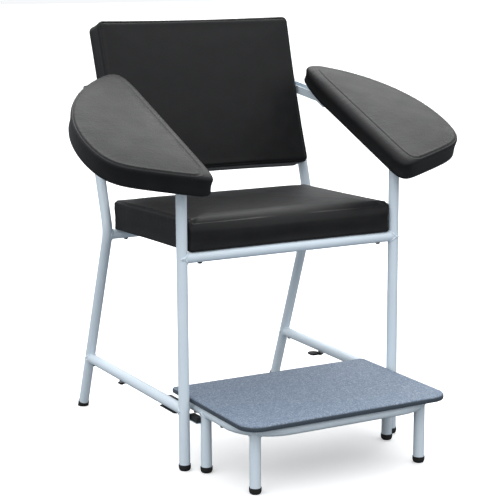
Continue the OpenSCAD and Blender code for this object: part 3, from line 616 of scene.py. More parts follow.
def seam_relief(points, path, closed, sizes, seed):
    """How far a seam moves the cover along its normal: a groove g exp(-(d/w)^2) at distance d,
    a low roll beside it, and puckers that die away over the reach given."""
    d, along = nearest(points, path, closed)
    w = sizes.seam_width
    groove = -sizes.seam_depth * np.exp(-(d / w) ** 2)
    rolled = ROLL_SHARE * sizes.seam_depth * np.exp(-((d - ROLL_AT * w) / (ROLL_WIDTH * w)) ** 2)
    away = 1 - np.exp(-(d / (PUCKER_FROM * w)) ** 2)
    pucker = sizes.pucker * np.exp(-d / sizes.pucker_reach) * away
    return groove + rolled + pucker * wavy(along, sizes.pucker_pitch, seed)


CLOTH = {"quality": 5, "mass": 0.2, "tension_stiffness": 20, "compression_stiffness": 20,
         "shear_stiffness": 8, "bending_stiffness": 1.0, "use_pressure": True}
CLOTH_FRAMES = 20
PINNED, READ_BACK = 0.9, 1.3  # reach of a seam's pins and of a point's weights, in mesh steps


def places_of(mesh):
    """The places of a mesh's points, one row each."""
    out = np.empty(len(mesh.vertices) * 3, np.float32)
    mesh.vertices.foreach_get("co", out)
    return out.reshape(-1, 3).astype(float)


def swollen(rows, held, sizes):
    """How far Blender's cloth moves each point of a cushion's cover when the filling presses
    it outwards. The simulation runs on an even mesh of the cover, pinned where held(points)
    is true, and its movement, capped at sizes.swell, is read back with Gaussian weights."""
    scene = bpy.context.scene
    rough = smooth_mesh("cover_start", shell_points(rows), shell_faces(*rows.shape[:2]))
    remesh = rough.modifiers.new("even", "REMESH")
    remesh.mode = "VOXEL"
    remesh.voxel_size = sizes.cloth_step
    ready = rough.evaluated_get(bpy.context.evaluated_depsgraph_get())
    mesh = bpy.data.meshes.new_from_object(ready)
    cover = bpy.data.objects.new("cover", mesh)
    scene.collection.objects.link(cover)
    bpy.data.objects.remove(rough)

    before = places_of(mesh)
    group = cover.vertex_groups.new(name="held")
    group.add(np.flatnonzero(held(before)).tolist(), 1.0, "REPLACE")
    cloth = cover.modifiers.new("cover", "CLOTH")
    for name, value in CLOTH.items():
        setattr(cloth.settings, name, value)
    cloth.settings.uniform_pressure_force = sizes.pressure
    cloth.settings.vertex_group_mass = group.name
    cloth.settings.effector_weights.gravity = 0
    cloth.point_cache.frame_start = 1
    cloth.point_cache.frame_end = CLOTH_FRAMES
    for number in range(1, CLOTH_FRAMES + 1):
        scene.frame_set(number)
    settled = cover.evaluated_get(bpy.context.evaluated_depsgraph_get())
    moved = places_of(settled.data) - before
    scene.frame_set(1)
    bpy.data.objects.remove(cover)
    distance = np.linalg.norm(moved, axis=1)
    moved *= (np.minimum(distance, sizes.swell) / np.maximum(distance, 1e-9))[:, None]

    spread = 2 * (READ_BACK * sizes.cloth_step) ** 2
    before, moved = before.astype(np.float32), moved.astype(np.float32)
    points = rows.reshape(-1, 3)
    result = np.empty_like(points)
    for start in range(0, len(points), CLOTH_BATCH):
        batch = slice(start, start + CLOTH_BATCH)
        gaps = gaps_between(points[batch].astype(np.float32), before)
        weights = np.exp(-(gaps - gaps.min(axis=1, keepdims=True)) / spread)
        result[batch] = weights @ moved / weights.sum(axis=1, keepdims=True)
    return result.reshape(rows.shape)


RELIEF_FROM, RELIEF_FADE = 6 * MM, 12 * MM  # above the board, where waves and creases begin
LONG_WAVE, SHORT_WAVE = 45 * MM, 17 * MM
LONG_SHARE, SHORT_SHARE = 0.6, 0.25  # heights of the waves, in shares of sizes.wrinkle
WAVE_STRETCH = 1.6, 1, 1  # the long waves are longer from side to side


def dressed(name, place, rows, seams, sizes, seed, material, limit=None):
    """The finished cover: swollen by the cloth, then creased at its seams, as one object.
    Also gives its rows and their normals in the cushion's own frame."""
    flat_seams = [rows.reshape(-1, 3)[path] for path, _ in seams]

    def held(points):
        low = points[:, 2] < sizes.held_height
        for path, (_, closed) in zip(flat_seams, seams):
            low |= nearest(points, path, closed)[0] < sizes.cloth_step * PINNED
        return low

    moved = swollen(rows, held, sizes)
    if limit is not None:
        moved = limit(rows, moved)
    rows = rows + moved
    normals = grid_normals(rows)
    points = rows.reshape(-1, 3)
    fade = np.clip((points[:, 2] - RELIEF_FROM) / RELIEF_FADE, 0, 1)
    relief = sizes.wrinkle * ripple(points, LONG_WAVE, seed, WAVE_STRETCH) * LONG_SHARE
    relief += sizes.wrinkle * ripple(points, SHORT_WAVE, seed + 1) * SHORT_SHARE
    for number, (path, closed) in enumerate(seams):
        relief += seam_relief(points, points[path], closed, sizes, seed + 10 + number)
    points = points + normals.reshape(-1, 3) * (relief * fade)[:, None]
    rows = points.reshape(rows.shape)
    made = smooth_mesh(name, place.put(shell_points(rows)), shell_faces(*rows.shape[:2]),
                       [material])
    return made, rows, grid_normals(rows)


# Welds

def leg_line(side, sizes):
    """Points 1 mm apart on the axis of a rear leg: straight from the foot, round the bend,
    straight up the reclined upright."""
    lean = math.atan2(sizes.foot_run - sizes.bend_run, sizes.bend_height)
    down = np.array([0, math.sin(lean), -math.cos(lean)])
    up = np.array([0, math.sin(RECLINE), math.cos(RECLINE)])
    corner = np.array([side * REAR_X, LEG_RUN + sizes.bend_run, sizes.bend_height])
    turned = lean + RECLINE
    tangent = sizes.bend_radius * math.tan(turned / 2)
    centre = corner + unit(down + up) * sizes.bend_radius / math.cos(turned / 2)
    first, last = corner + down * tangent, corner + up * tangent
    a = np.linspace(0, 1, 60)[:, None] * turned
    start, sideways = first - centre, -down
    arc = centre + start * np.cos(a) + sideways * sizes.bend_radius * np.sin(a)
    foot = first + down * np.linspace(0.45, 0, 450)[:, None]
    top = last + up * np.linspace(0, sizes.upright - tangent, 330)[:, None]
    return np.vstack([foot, arc, top])


def distance_to(points, line):
    """Distance from each point to a line of points 1 mm apart, by its nearest segment."""
    gaps = np.linalg.norm(points[:, None] - line[None], axis=2)
    index = np.clip(gaps.argmin(axis=1), 1, len(line) - 2)
    best = np.full(len(points), np.inf)
    for a, b in ((line[index - 1], line[index]), (line[index], line[index + 1])):
        run = b - a
        t = np.clip(((points - a) * run).sum(axis=1) / (run ** 2).sum(axis=1), 0, 1)
        best = np.minimum(best, np.linalg.norm(points - a - run * t[:, None], axis=1))
    return best


WELD_POINTS, HALVINGS = 96, 26
INSIDE = 30 * MM  # how far inside a joint the search for its weld begins
REACH_ACROSS, REACH_ALONG, REACH_UP = 0.036, 0.034, 0.03  # its way on rails, side rails, legs
RAIL_ENDS = 0.06, 0.94  # where it begins on a side rail, in shares of the rail's length


def seam_on_tube(start, toward, radius, line, line_radius, reach):
    """Where the wall of a straight round tube meets a bent one: for each of a number of lines
    along the straight tube's wall, the point at line_radius from the other's axis, by
    bisection."""
    toward = unit(np.asarray(toward, float))
    u = unit(np.cross(toward, [0, 0, 1.0] if abs(toward[2]) < 0.9 else [1.0, 0, 0]))
    v = np.cross(toward, u)
    angle = full_turn(WELD_POINTS)
    wall = start + radius * (np.cos(angle)[:, None] * u + np.sin(angle)[:, None] * v)
    low, high = np.zeros(WELD_POINTS), np.full(WELD_POINTS, reach)
    for _ in range(HALVINGS):
        mid = (low + high) / 2
        outside = distance_to(wall + toward * mid[:, None], line) > line_radius
        low, high = np.where(outside, mid, low), np.where(outside, high, mid)
    return wall + toward * low[:, None]


BEAD_POINTS, BEAD_SIDES, BEAD_RIPPLE = 240, 10, 1.9 * MM
RIPPLE_SHARE, UNEVEN_SHARE = 0.09, 0.12  # of the bead's size


def bead(path, size, seed):
    """A painted weld bead along a closed path: a low ridge with even ripples 1.9 mm apart."""
    path = resample(path, BEAD_POINTS)
    length = np.linalg.norm(np.roll(path, -1, axis=0) - path, axis=1).sum()
    along = np.arange(BEAD_POINTS) / BEAD_POINTS * length
    ripples = RIPPLE_SHARE * np.sin(2 * math.pi * along / BEAD_RIPPLE)
    uneven = UNEVEN_SHARE * wavy(along, 20 * MM, seed)
    return swept_tube(path, size * (1 + ripples + uneven), BEAD_SIDES)


def placed(name, place, points, faces, materials):
    """An object whose points are given in a piece's own frame, its faces turned outwards
    where that frame is a mirrored one."""
    if np.linalg.det(place.matrix) < 0:
        faces = np.asarray(faces)[:, ::-1]
    return smooth_mesh(name, place.put(points), faces, materials)


# Sizes and finishes

def length(name, text, default):
    return bpy.props.FloatProperty(name=name, description=text, default=default, unit="LENGTH",
                                   precision=4, min=0.0)


def amount(name, text, default):
    return bpy.props.FloatProperty(name=name, description=text, default=default, min=0.0)


def slant(name, text, degrees):
    return bpy.props.FloatProperty(name=name, description=text, default=math.radians(degrees),
                                   subtype="ANGLE", unit="ROTATION")


def colour(name, text, default):
    return bpy.props.StringProperty(name=name, description=text, default=default)


class ChairSizes(bpy.types.PropertyGroup):
    """Sizes of the seat and back, and of the boards, seams and stitches of all cushions."""

    seat_height: length("Seat edge height", "Seat's edge above its rails", 0.0727)
    seat_crown: length("Seat crown", "Rise of the seat's middle above its edge", 0.008)
    seat_front_half: length("Seat front half", "Half width of the seat at the front", 0.265)
    seat_rear_half: length("Seat rear half", "Half width of the seat at the rear", 0.271)
    seat_front: length("Seat overhang", "Front edge in front of the front rail", 0.012)
    seat_rear: length("Seat depth", "Rear edge behind the front rail", 0.400)
    seat_corner: length("Seat corner", "Corner radius of the seat", 0.012)
    back_height: length("Back thickness", "Back cushion's edge in front of its rails", 0.0667)
    back_crown: length("Back crown", "Rise of the back's middle above its edge", 0.005)
    back_half: length("Back half", "Half width of the back", 0.266)
    back_low: length("Back low edge", "Lower edge above the bend, along the uprights", 0.124)
    back_top: length("Back top edge", "Upper edge above the bend, along the uprights", 0.508)
    back_corner: length("Back corner", "Corner radius of the back", 0.015)
    low_rail: length("Lower rail", "Lower back rail above the bend, along the uprights", 0.170)
    pull: length("Draw-in", "How far the sides draw in between the corners", 0.003)
    recess: length("Recess inset", "Lip under the cushions, around the board", 0.004)
    board: length("Board recess", "Depth of the recess for a board", 0.0123)
    gap: length("Floor gap", "Clearance of the covers above the board's lower face", 0.0003)
    cloth_step: length("Cloth mesh", "Mesh size of the simulated cover", 0.007)
    swell: length("Swell", "Most that the filling presses a cover out", 0.004)
    held_height: length("Held height", "The cover is stapled below this height", 0.012)
    pressure: amount("Pressure", "Pressure of the filling", 4.0)
    wrinkle: length("Wrinkle", "Height of the cover's soft waves", 0.0002)
    seam_depth: length("Seam depth", "Depth of a seam's groove", 0.0014)
    seam_width: length("Seam width", "Half width of a seam's groove", 0.0016)
    pucker: length("Pucker", "Height of the puckers beside a seam", 0.0002)
    pucker_reach: length("Pucker reach", "How far the puckers run from a seam", 0.012)
    pucker_pitch: length("Pucker pitch", "Length of a pucker along a seam", 0.014)
    stitch_pitch: length("Stitch pitch", "Distance between stitches", 0.0042)
    stitch_length: length("Stitch length", "Length of a stitch", 0.0033)
    thread: length("Thread", "Thickness of the thread", 0.0007)


class ArmSizes(bpy.types.PropertyGroup):
    """Sizes of an arm pad in the arm's own frame."""

    slope: slant("Slope", "Slope of the pads", 22.5)
    axis_height: length("Axis height", "Arm tube's axis over the front leg", 0.657)
    floor: length("Pad floor", "Underside of the pad above the tube's axis", 0.0165)
    inner: length("Inner edge", "Straight edge inwards of the tube's axis", 0.040)
    reach: length("Reach", "Farthest point outwards of the tube's axis", 0.196)
    arc_radius: length("Arc radius", "Radius of the outer arc", 0.345)
    arc_run: length("Arc centre", "Arc's centre behind the front leg", 0.115)
    front: length("Front", "Front edge in front of the front leg", 0.082)
    front_angle: slant("Front angle", "Slant of the front edge", 22.5)
    sharpness: amount("Sharpness", "Higher gives tighter corners", 8.0)
    height: length("Thickness", "Pad's edge above its underside", 0.0457)
    crown: length("Crown", "Rise of the pad's middle", 0.005)
    recess: length("Recess inset", "Lip under the pad", 0.0078)
    skirt: length("Skirt", "Lower edge below the board, except at the rear", 0.006)


class FrameSizes(bpy.types.PropertyGroup):
    """Sizes of the tube frame that its welds follow."""

    foot_run: length("Foot run", "Rear foot behind the front legs", 0.590)
    bend_run: length("Bend run", "Rear leg's bend behind the front legs", 0.398)
    bend_height: length("Bend height", "Height of the rear leg's bend", 0.490)
    bend_radius: length("Bend radius", "Centreline radius of the bend", 0.070)
    upright: length("Upright", "Length of the upright above the bend", 0.358)
    weld: length("Weld", "Size of a weld bead", 0.0022)


class StepSizes(bpy.types.PropertyGroup):
    """Sizes of the step's board and its tube loop, from the front legs of the chair."""

    half: length("Half width", "Half width of the board", 0.263)
    front: length("Front", "Front edge in front of the legs", 0.268)
    rear: length("Rear", "Rear edge behind the legs", 0.101)
    top: length("Top", "Height of the step", 0.168)
    thickness: length("Thickness", "Board with its covering", 0.0125)
    front_corner: length("Front corner", "Radius of the front corners", 0.044)
    rear_corner: length("Rear corner", "Radius of the rear corners", 0.008)
    sheet: length("Sheet", "Thickness of the covering", 0.0025)
    inset: length("Sheet inset", "How far the covering stops short of the board's edge", 0.0015)
    roll: length("Edge roll", "Radius of the covering over the edge", 0.0018)
    tube_half: length("Tube half", "Half distance between the side tubes", 0.2435)
    tube_height: length("Tube height", "Height of the loop's axis", 0.143)
    tube_front: length("Tube front", "Front tube in front of the legs", 0.242)
    front_bend: length("Front bend", "Radius of the loop's front bends", 0.100)
    leg_run: length("Leg run", "Rear step legs in front of the chair's legs", 0.037)


class Colours(bpy.types.PropertyGroup):
    """Colours as sRGB hex values."""

    coat: colour("Powder coat", "Frame tube", "#dbe7f0")
    coat_deep: colour("Powder coat, deep", "Frame tube in its cloudier places", "#d4e1eb")
    vinyl: colour("Vinyl", "Upholstery", "#1b1b1c")
    vinyl_deep: colour("Vinyl, deep", "Upholstery in its darker places", "#161617")
    thread: colour("Thread", "Stitching", "#3c3c3e")
    step: colour("Step sheet", "Ground of the step's covering", "#7b899b")
    step_shade: colour("Step sheet, shade", "Ground in its darker places", "#748295")
    step_pale: colour("Step fleck, pale", "Pale flecks", "#94a0b0")
    step_dark: colour("Step fleck, dark", "Dark flecks", "#617082")
    core: colour("Step core", "Edge and underside of the step board", "#3b4550")
    backing: colour("Backing cloth", "Dust cloth under the boards", "#1a1a1b")
    rubber: colour("Rubber", "Feet and stops", "#161617")
    plastic: colour("Black nylon", "Plugs, caps and guides", "#1b1b1c")
    nylon: colour("Grey nylon", "Saddles in the tops of the front legs", "#c9ccce")
    black: colour("Black oxide", "Screws and bolts", "#1d1d1f")
    zinc: colour("Zinc", "Spacers of the stops", "#b9bcc0")


def sizes_of(name):
    """The property group that the scene keeps under this name."""
    return getattr(bpy.context.scene, "chair_" + name)


MADE = {}  # the materials of the record's slots, and the thread's


def slots():
    """The material of each of the record's slots, made once."""
    colours = sizes_of("colours")
    MADE.update(MADE or {
        "powder_coat": powder_coated_steel(colours),
        "vinyl": upholstery_vinyl(colours),
        "backed_board": backing_cloth(colours),
        "step_covering": speckled_sheet(colours),
        # injection-moulded rubber, matt with a fine spark-eroded grain
        "black_rubber": plain_finish("black_rubber", colours.rubber, 0.72, 0.9 * MM, 0.08 * MM),
        # glass-filled nylon, a satin skin over a fine grain
        "black_plastic": plain_finish("black_nylon", colours.plastic, 0.5, 1.1 * MM, 0.05 * MM),
        "grey_plastic": plain_finish("grey_nylon", colours.nylon, 0.45, 1.1 * MM, 0.05 * MM,
                                     spread=0.02),
        # black-oxided steel, oiled, so its highlights stay bright on a near-black ground
        "black_steel": plain_finish("black_oxide_steel", colours.black, 0.38, 1.4 * MM,
                                    0.04 * MM, metallic=0.6),
        # bright zinc plate with the slight cloudiness of a barrel-plated part
        "zinc": plain_finish("zinc_plated_steel", colours.zinc, 0.3, 0.8 * MM, 0.03 * MM,
                             metallic=1.0, spread=0.04),
        # spun polyester thread, a soft sheen
        "thread": plain_finish("polyester_thread", colours.thread, 0.6, 0.4 * MM, 0.05 * MM),
        # laminated board edge, painted dark grey, with the brush marks of its sealed edge
        "step_core": plain_finish("painted_board_edge", colours.core, 0.5, 1.5 * MM, 0.1 * MM),
    })
    return MADE


def finished(made, body):
    """Gives a piece the body that it rides on."""
    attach(made, body)
    return made


class CHAIR_OT_finishes(bpy.types.Operator):
    """Gives every CAD node the finish of its slot"""

    bl_idname = "chair.finishes"
    bl_label = "Frame finishes"

    def execute(self, context):
        made = slots()
        for part in frame["record"]["subparts"]:
            mesh = frame["nodes"][part["node"]].data
            mesh.materials.clear()
            mesh.materials.append(made[part["material_slot"]])
        return {"FINISHED"}


CORNERS = 0.7 * np.array([[-1, -1], [1, -1], [1, 1], [-1, 1]])  # front left, then round
CORNER_ROWS = 12  # rows of a side that a corner's seam runs down


def box_seams(rows, plan, seam_row, side_row, corners, all_round):
    """Seams as lists of the cover's points: round the top, or one over each side from corner
    to corner, and down each corner of the box."""
    width = rows.shape[1]
    at = (plan.normals @ corners.T).argmax(axis=0)
    down = [np.arange(seam_row, side_row + CORNER_ROWS) * width + j for j in at]
    if all_round:
        return [(seam_row * width + np.arange(width), True)] + [(d, False) for d in down]
    paths = []
    for first, last in ((1, 2), (3, 0)):
        a, b = at[first], at[last]
        over = seam_row * width + np.arange(a, b + width * (b < a) + 1) % width
        paths.append((np.r_[down[first][::-1], over, down[last]], False))
    return paths


LEG_SIDE_SWELL, LEG_SIDE_RUN = 0.8 * MM, 30 * MM  # the most beside the legs, and how far back


class CHAIR_OT_seat(bpy.types.Operator):
    """Makes the seat's vinyl cover: rolled front and rear edges, a sewn seam over each side"""

    bl_idname = "chair.seat"
    bl_label = "Seat cushion"

    def execute(self, context):
        s = sizes_of("sizes")
        plan = BoxPlan((s.seat_front_half, s.seat_rear_half), (-s.seat_front, s.seat_rear),
                       s.seat_corner, s.pull, count=480)
        rows, seam_row, side_row = upholstered_rows(
            plan, roll=(0.010, 0.028), seam=(0.003, 0.008), height=s.seat_height,
            crown=s.seat_crown, low=0.004, recess=s.recess, hollow=s.board, gap=s.gap,
            rows=(66, 12, 14))
        seams = box_seams(rows, plan, seam_row, side_row, CORNERS, False)

        def beside_legs(rows, moved):
            # the front legs stand 2.5 mm from the sides, so the cover keeps clear of them
            over = np.abs(rows[:, :, 0] + moved[:, :, 0]) - (s.seat_front_half + LEG_SIDE_SWELL)
            near = rows[:, :, 1] < LEG_SIDE_RUN
            moved[:, :, 0] -= np.sign(rows[:, :, 0]) * np.maximum(0, over) * near
            return moved

        cover, *_ = dressed("seat_cover", seat_place(), rows, seams, s, seed=3,
                            material=slots()["vinyl"], limit=beside_legs)
        finished(cover, "frame")
        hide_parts("seat_cushion")
        return {"FINISHED"}


class CHAIR_OT_back(bpy.types.Operator):
    """Makes the back's vinyl cover: a flat front panel sewn all round to a boxing strip"""

    bl_idname = "chair.back"
    bl_label = "Back cushion"

    def execute(self, context):
        s = sizes_of("sizes")
        plan = BoxPlan((s.back_half, s.back_half), (s.back_low, s.back_top), s.back_corner,
                       s.pull, count=480)
        rows, seam_row, side_row = upholstered_rows(
            plan, roll=(0.013, 0.012), seam=(0.0055, 0.0045), height=s.back_height,
            crown=s.back_crown, low=0.004, recess=s.recess, hollow=s.board, gap=s.gap,
            rows=(62, 12, 12))
        seams = box_seams(rows, plan, seam_row, side_row, CORNERS[:2], True)
        cover, *_ = dressed("back_cover", back_place(s), rows, seams, s, seed=21,
                            material=slots()["vinyl"])
        finished(cover, "frame")
        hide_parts("back_cushion")
        return {"FINISHED"}


SKIRT_END, SKIRT_FADE = 0.40, 0.08  # where it ends behind the front leg, and how gently


class CHAIR_OT_arms(bpy.types.Operator):
    """Makes both arm pads: a D-shaped top panel, topstitched along its seam, over a boxing"""

    bl_idname = "chair.arms"
    bl_label = "Arm pads"

    def execute(self, context):
        s, a, made = sizes_of("sizes"), sizes_of("arms"), slots()
        plan = ArmPlan(a, count=420)
        skirt = a.skirt * np.clip((SKIRT_END - plan.outline[:, 1]) / SKIRT_FADE, 0, 1)
        rows, seam_row, _ = upholstered_rows(
            plan, roll=(0.018, 0.009, 0.009), seam=(0.025, 0.0045, 0.0045), height=a.height,
            crown=a.crown, low=0.0074, recess=a.recess, hollow=s.board, gap=s.gap,
            rows=(44, 18, 10), skirt=skirt)
        around = np.arange(rows.shape[1])
        seam = seam_row * len(around) + around
        # one dressed pad, in its own frame, serves both arms
        draft, shape, normals = dressed("arm_cover", Place([0, 0, 0], np.eye(3)), rows,
                                        [(seam, True)], s, seed=40, material=made["vinyl"])
        bpy.data.objects.remove(draft)
        beads, faces = stitches(shape[seam_row - 1], normals[seam_row - 1],
                                s.stitch_pitch, s.stitch_length, s.thread)
        for side_name, side in SIDES.items():
            place, body = arm_place(side, a), side_name + "_arm"
            place.origin = place.put([0, 0, a.floor])
            cover = placed(side_name + "_arm_cover", place, shell_points(shape),
                           shell_faces(*shape.shape[:2]), [made["vinyl"]])
            finished(cover, body)
            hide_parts(side_name + "_arm_pad")
            finished(placed(side_name + "_arm_stitches", place, beads, faces, [made["thread"]]),
                     body)
        return {"FINISHED"}


SHEET, BOARD = 0, 1  # the places of the tread's two materials
BOARD_EASE, BOARD_ROUND = 1.2 * MM, 2.5 * MM  # radii of the board's upper and lower edge


class CHAIR_OT_step(bpy.types.Operator):
    """Makes the step's tread: a speckled sheet rolled over the edge of a dark board"""

    bl_idname = "chair.step"
    bl_label = "Step tread"

    def execute(self, context):
        s, made = sizes_of("step"), slots()
        x, front, rear = s.half, LEG_RUN - s.front, LEG_RUN + s.rear
        f, b = s.front_corner, s.rear_corner
        quarter = np.linspace(0, math.pi / 2, 40)
        edge = resample(np.vstack([
            np.array([cx, cy]) + r * on_circle(quarter + start) for cx, cy, r, start in (
                (-x + f, front + f, f, math.pi), (x - f, front + f, f, 1.5 * math.pi),
                (x - b, rear - b, b, 0), (-x + b, rear - b, b, 0.5 * math.pi))]), 480)
        normals = outward(edge)
        middle = edge.mean(axis=0)
        low, high, r = s.top - s.thickness, s.top, s.roll
        board = high - s.sheet
        rows, sides = [], []

        def add(inset, z, side, share=1.0):
            points = middle + (edge - normals * inset - middle) * share
            rows.append(np.column_stack([points, np.full(len(points), z)]))
            sides.append(side)

        for share in (0.05, 0.35, 0.7, 0.9, 0.97):
            add(r + s.inset, high, SHEET, share)
        for angle in np.radians(np.linspace(0, 90, 9)):
            add(s.inset + r * (1 - math.sin(angle)), high - r * (1 - math.cos(angle)), SHEET)
        add(s.inset, board + 0.2 * MM, SHEET)
        add(s.inset - 0.1 * MM, board, BOARD)
        for angle in np.radians([0, 30, 60, 90]):
            add(BOARD_EASE * (1 - math.sin(angle)), board - BOARD_EASE * (1 - math.cos(angle)),
                BOARD)
        for angle in np.radians([0, 30, 60, 90]):
            add(BOARD_ROUND * (1 - math.cos(angle)), low + BOARD_ROUND * (1 - math.sin(angle)),
                BOARD)
        for share in (0.9, 0.5, 0.05):
            add(3 * MM, low, BOARD, share)
        rows = np.array(rows)
        count, width = rows.shape[:2]
        walls = np.repeat(sides[:-1], width)
        tread = smooth_mesh("step_tread", shell_points(rows), shell_faces(count, width),
                            [made["step_covering"], made["step_core"]],
                            np.r_[walls, walls, np.full(width, SHEET), np.full(width, BOARD)])
        finished(tread, "step")
        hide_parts("step_mat", "step_board")
        return {"FINISHED"}


def weld_beads(name, paths, seed, body):
    """One object of the weld beads along the paths."""
    size, coat = sizes_of("frame").weld, slots()["powder_coat"]
    points, faces = joined([bead(path, size, seed + n) for n, path in enumerate(paths)])
    finished(smooth_mesh(name, points, faces, [coat]), body)


class CHAIR_OT_welds(bpy.types.Operator):
    """Lays the weld beads where one tube of the frame or of the step meets another"""

    bl_idname = "chair.welds"
    bl_label = "Weld beads"

    def execute(self, context):
        s, t = sizes_of("frame"), sizes_of("step")
        paths = []
        for side in SIDES.values():
            rear = leg_line(side, s)
            front = np.linspace([side * FRONT_X, LEG_RUN, 0.01],
                                [side * FRONT_X, LEG_RUN, 0.65], 640)
            for rail, radius, line in (
                    (SEAT_RAIL, TUBE_R, front), (REAR_RAIL, TUBE_R, rear),
                    (LOW_BACK, BACK_RAIL_R, rear), (HIGH_BACK, BACK_RAIL_R, rear)):
                start = np.array([side * (FRONT_X - INSIDE), rail[1], rail[2]])
                paths.append(seam_on_tube(start, [side, 0, 0], radius, line, TUBE_R,
                                          REACH_ACROSS))
            lean = math.atan2(s.foot_run - s.bend_run, s.bend_height)
            ahead = np.array([side * (REAR_X - FRONT_X),
                              s.foot_run - SIDE_RAIL_Z * math.tan(lean), 0])
            first = np.array([side * FRONT_X, LEG_RUN, SIDE_RAIL_Z])
            for share, way, line in zip(RAIL_ENDS, (-ahead, ahead), (front, rear)):
                paths.append(seam_on_tube(first + ahead * share, way, TUBE_R, line, TUBE_R,
                                          REACH_ALONG))
        weld_beads("frame_welds", paths, 0, "frame")

        paths = []
        on_bend = 1 - math.sqrt(0.5)  # where a leg meets the middle of a front bend
        bend = t.front_bend
        for side in SIDES.values():
            x, y, z = side * t.tube_half, LEG_RUN - t.tube_front + bend, t.tube_height
            turned = on_circle(np.linspace(-math.pi / 2, 0, 160)) * bend
            corner = np.column_stack([side * (t.tube_half - bend + turned[:, 0]),
                                      y + turned[:, 1], np.full(160, z)])
            line = np.vstack([corner, np.linspace([x, y, z], [x, LEG_RUN + 0.05, z], 200)])
            below = z - INSIDE
            for leg in (
                    [side * (t.tube_half - bend * on_bend), y - bend * (1 - on_bend), below],
                    [x, LEG_RUN - t.leg_run, below]):
                paths.append(seam_on_tube(np.array(leg), [0, 0, 1], TUBE_R, line, TUBE_R,
                                          REACH_UP))
        weld_beads("step_welds", paths, 20, "step")
        return {"FINISHED"}


def lit_floor():
    """A white floor that glows a little where the camera sees it, painted light that pales the
    chair's shadow on it, and greyer in what the chair reflects and is lit by, painted shade
    that keeps the black vinyl's sides dark."""
    material, tree, shader, _ = new_material("pale_floor")
    seen = add_node(tree, "LightPath").outputs["Is Camera Ray"]
    # painted shade: grey in what the chair reflects and is lit by, white where the camera sees it
    tone = mixed(tree, seen, linear("#6a6d70"), linear("#f4f4f4"))
    # painted light: the floor glows for the camera only, which pales the chair's shadow on it
    painted_glow = add_node(tree, "Math", {0: seen, 1: 0.32}, operation="MULTIPLY")
    join(tree, shader, {"Base Color": tone, "Emission Color": linear("#ffffff"),
                        "Emission Strength": painted_glow.outputs[0], "Roughness": 0.9,
                        "Specular IOR Level": 0.1})
    return material


def studio_world():
    """A white studio: a bright ceiling over walls that darken to the rear and to the right,
    so that the tubes get a soft dark side, and a plain white where the camera sees it."""
    world = bpy.data.worlds.new("studio")
    world.use_nodes = True
    tree = world.node_tree
    tree.nodes.clear()
    way = add_node(tree, "SeparateXYZ", {0: add_node(tree, "TexCoord").outputs["Generated"]})
    light = 1.0
    for axis, low, high, dim, bright in (("Z", 0.1, 0.75, 0.95, 2.0), ("Y", -0.8, 0.6, 1.0, 0.6),
                                         ("X", -0.8, 0.8, 1.22, 0.78)):
        share = ranged(tree, way.outputs[axis], low, high, dim, bright)
        light = add_node(tree, "Math", {0: light, 1: share}, operation="MULTIPLY").outputs[0]
    seen = add_node(tree, "Mix", {0: add_node(tree, "LightPath").outputs["Is Camera Ray"],
                                  "A": light, "B": 1.0})
    back = add_node(tree, "Background", {"Color": linear("#f7f9fb"),
                                         "Strength": seen.outputs["Result"]})
    add_node(tree, "OutputWorld", {"Surface": back.outputs[0]})
    return world


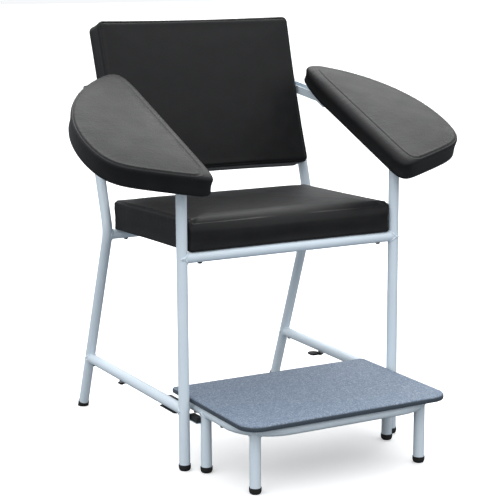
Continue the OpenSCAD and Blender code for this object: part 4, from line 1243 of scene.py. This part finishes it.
class CHAIR_OT_stage(bpy.types.Operator):
    """Sets the pale floor, the soft lights and the camera that took the photo's view"""

    bl_idname = "chair.stage"
    bl_label = "Stage"

    def execute(self, context):
        scene = context.scene
        floor = smooth_mesh("floor", [[-40, -40, 0], [40, -40, 0], [40, 40, 0], [-40, 40, 0]],
                            [[0, 1, 2, 3]], [lit_floor()])
        scene.world = studio_world()
        for name, place, aim, size, power in (
                ("overhead", (1.5, 2.1, 3.6), (0, 0, 0.7), (3.8, 3.4), 112),
                ("side", (-2.6, -1.6, 1.9), (0, 0, 0.5), (1.4, 2.0), 7)):
            light = bpy.data.lights.new(name, "AREA")
            light.shape = "RECTANGLE"
            light.size, light.size_y = size
            light.energy = power
            lamp = bpy.data.objects.new(name, light)
            scene.collection.objects.link(lamp)
            lamp.location = place
            lamp.rotation_euler = (Vector(aim) - Vector(place)).to_track_quat("-Z", "Y").to_euler()
        camera = bpy.data.objects.new("photo_camera", bpy.data.cameras.new("photo_camera"))
        camera.data.lens = 107.0
        camera.data.sensor_width = 36
        scene.collection.objects.link(camera)
        axes = Matrix(((0.87836, 0.09443, -0.46857), (-0.47796, 0.16282, -0.86316),
                       (-0.00521, 0.98213, 0.18815)))
        stand = Matrix.Translation((-1.6850, -2.9036 + LEG_RUN, 1.1255))
        camera.matrix_world = stand @ axes.to_4x4()
        scene.camera = camera
        scene.view_settings.view_transform = "Standard"
        return {"FINISHED"}


class CHAIR_PT_panel(bpy.types.Panel):
    """The sizes, and a button for each group of pieces"""

    bl_idname = "CHAIR_PT_panel"
    bl_label = "Phlebotomy chair"
    bl_space_type = "VIEW_3D"
    bl_region_type = "UI"
    bl_category = "Chair"

    def draw(self, context):
        layout = self.layout
        for name in GROUPS:
            box = layout.box()
            group = sizes_of(name)
            for entry in type(group).__annotations__:
                box.prop(group, entry)
        for operator in OPERATORS:
            layout.operator(operator.bl_idname)


GROUPS = {"sizes": ChairSizes, "arms": ArmSizes, "frame": FrameSizes, "step": StepSizes,
          "colours": Colours}
OPERATORS = (CHAIR_OT_finishes, CHAIR_OT_seat, CHAIR_OT_back, CHAIR_OT_arms, CHAIR_OT_step,
             CHAIR_OT_welds, CHAIR_OT_stage)


def register():
    for kind in (*GROUPS.values(), *OPERATORS, CHAIR_PT_panel):
        bpy.utils.register_class(kind)
    for name, kind in GROUPS.items():
        setattr(bpy.types.Scene, "chair_" + name, bpy.props.PointerProperty(type=kind))


def unregister():
    for name in GROUPS:
        delattr(bpy.types.Scene, "chair_" + name)
    for kind in (CHAIR_PT_panel, *reversed(OPERATORS), *reversed(list(GROUPS.values()))):
        bpy.utils.unregister_class(kind)


def main():
    register()
    for operator in OPERATORS:
        getattr(bpy.ops.chair, operator.bl_idname.split(".")[1])()


if __name__ == "__main__":
    main()
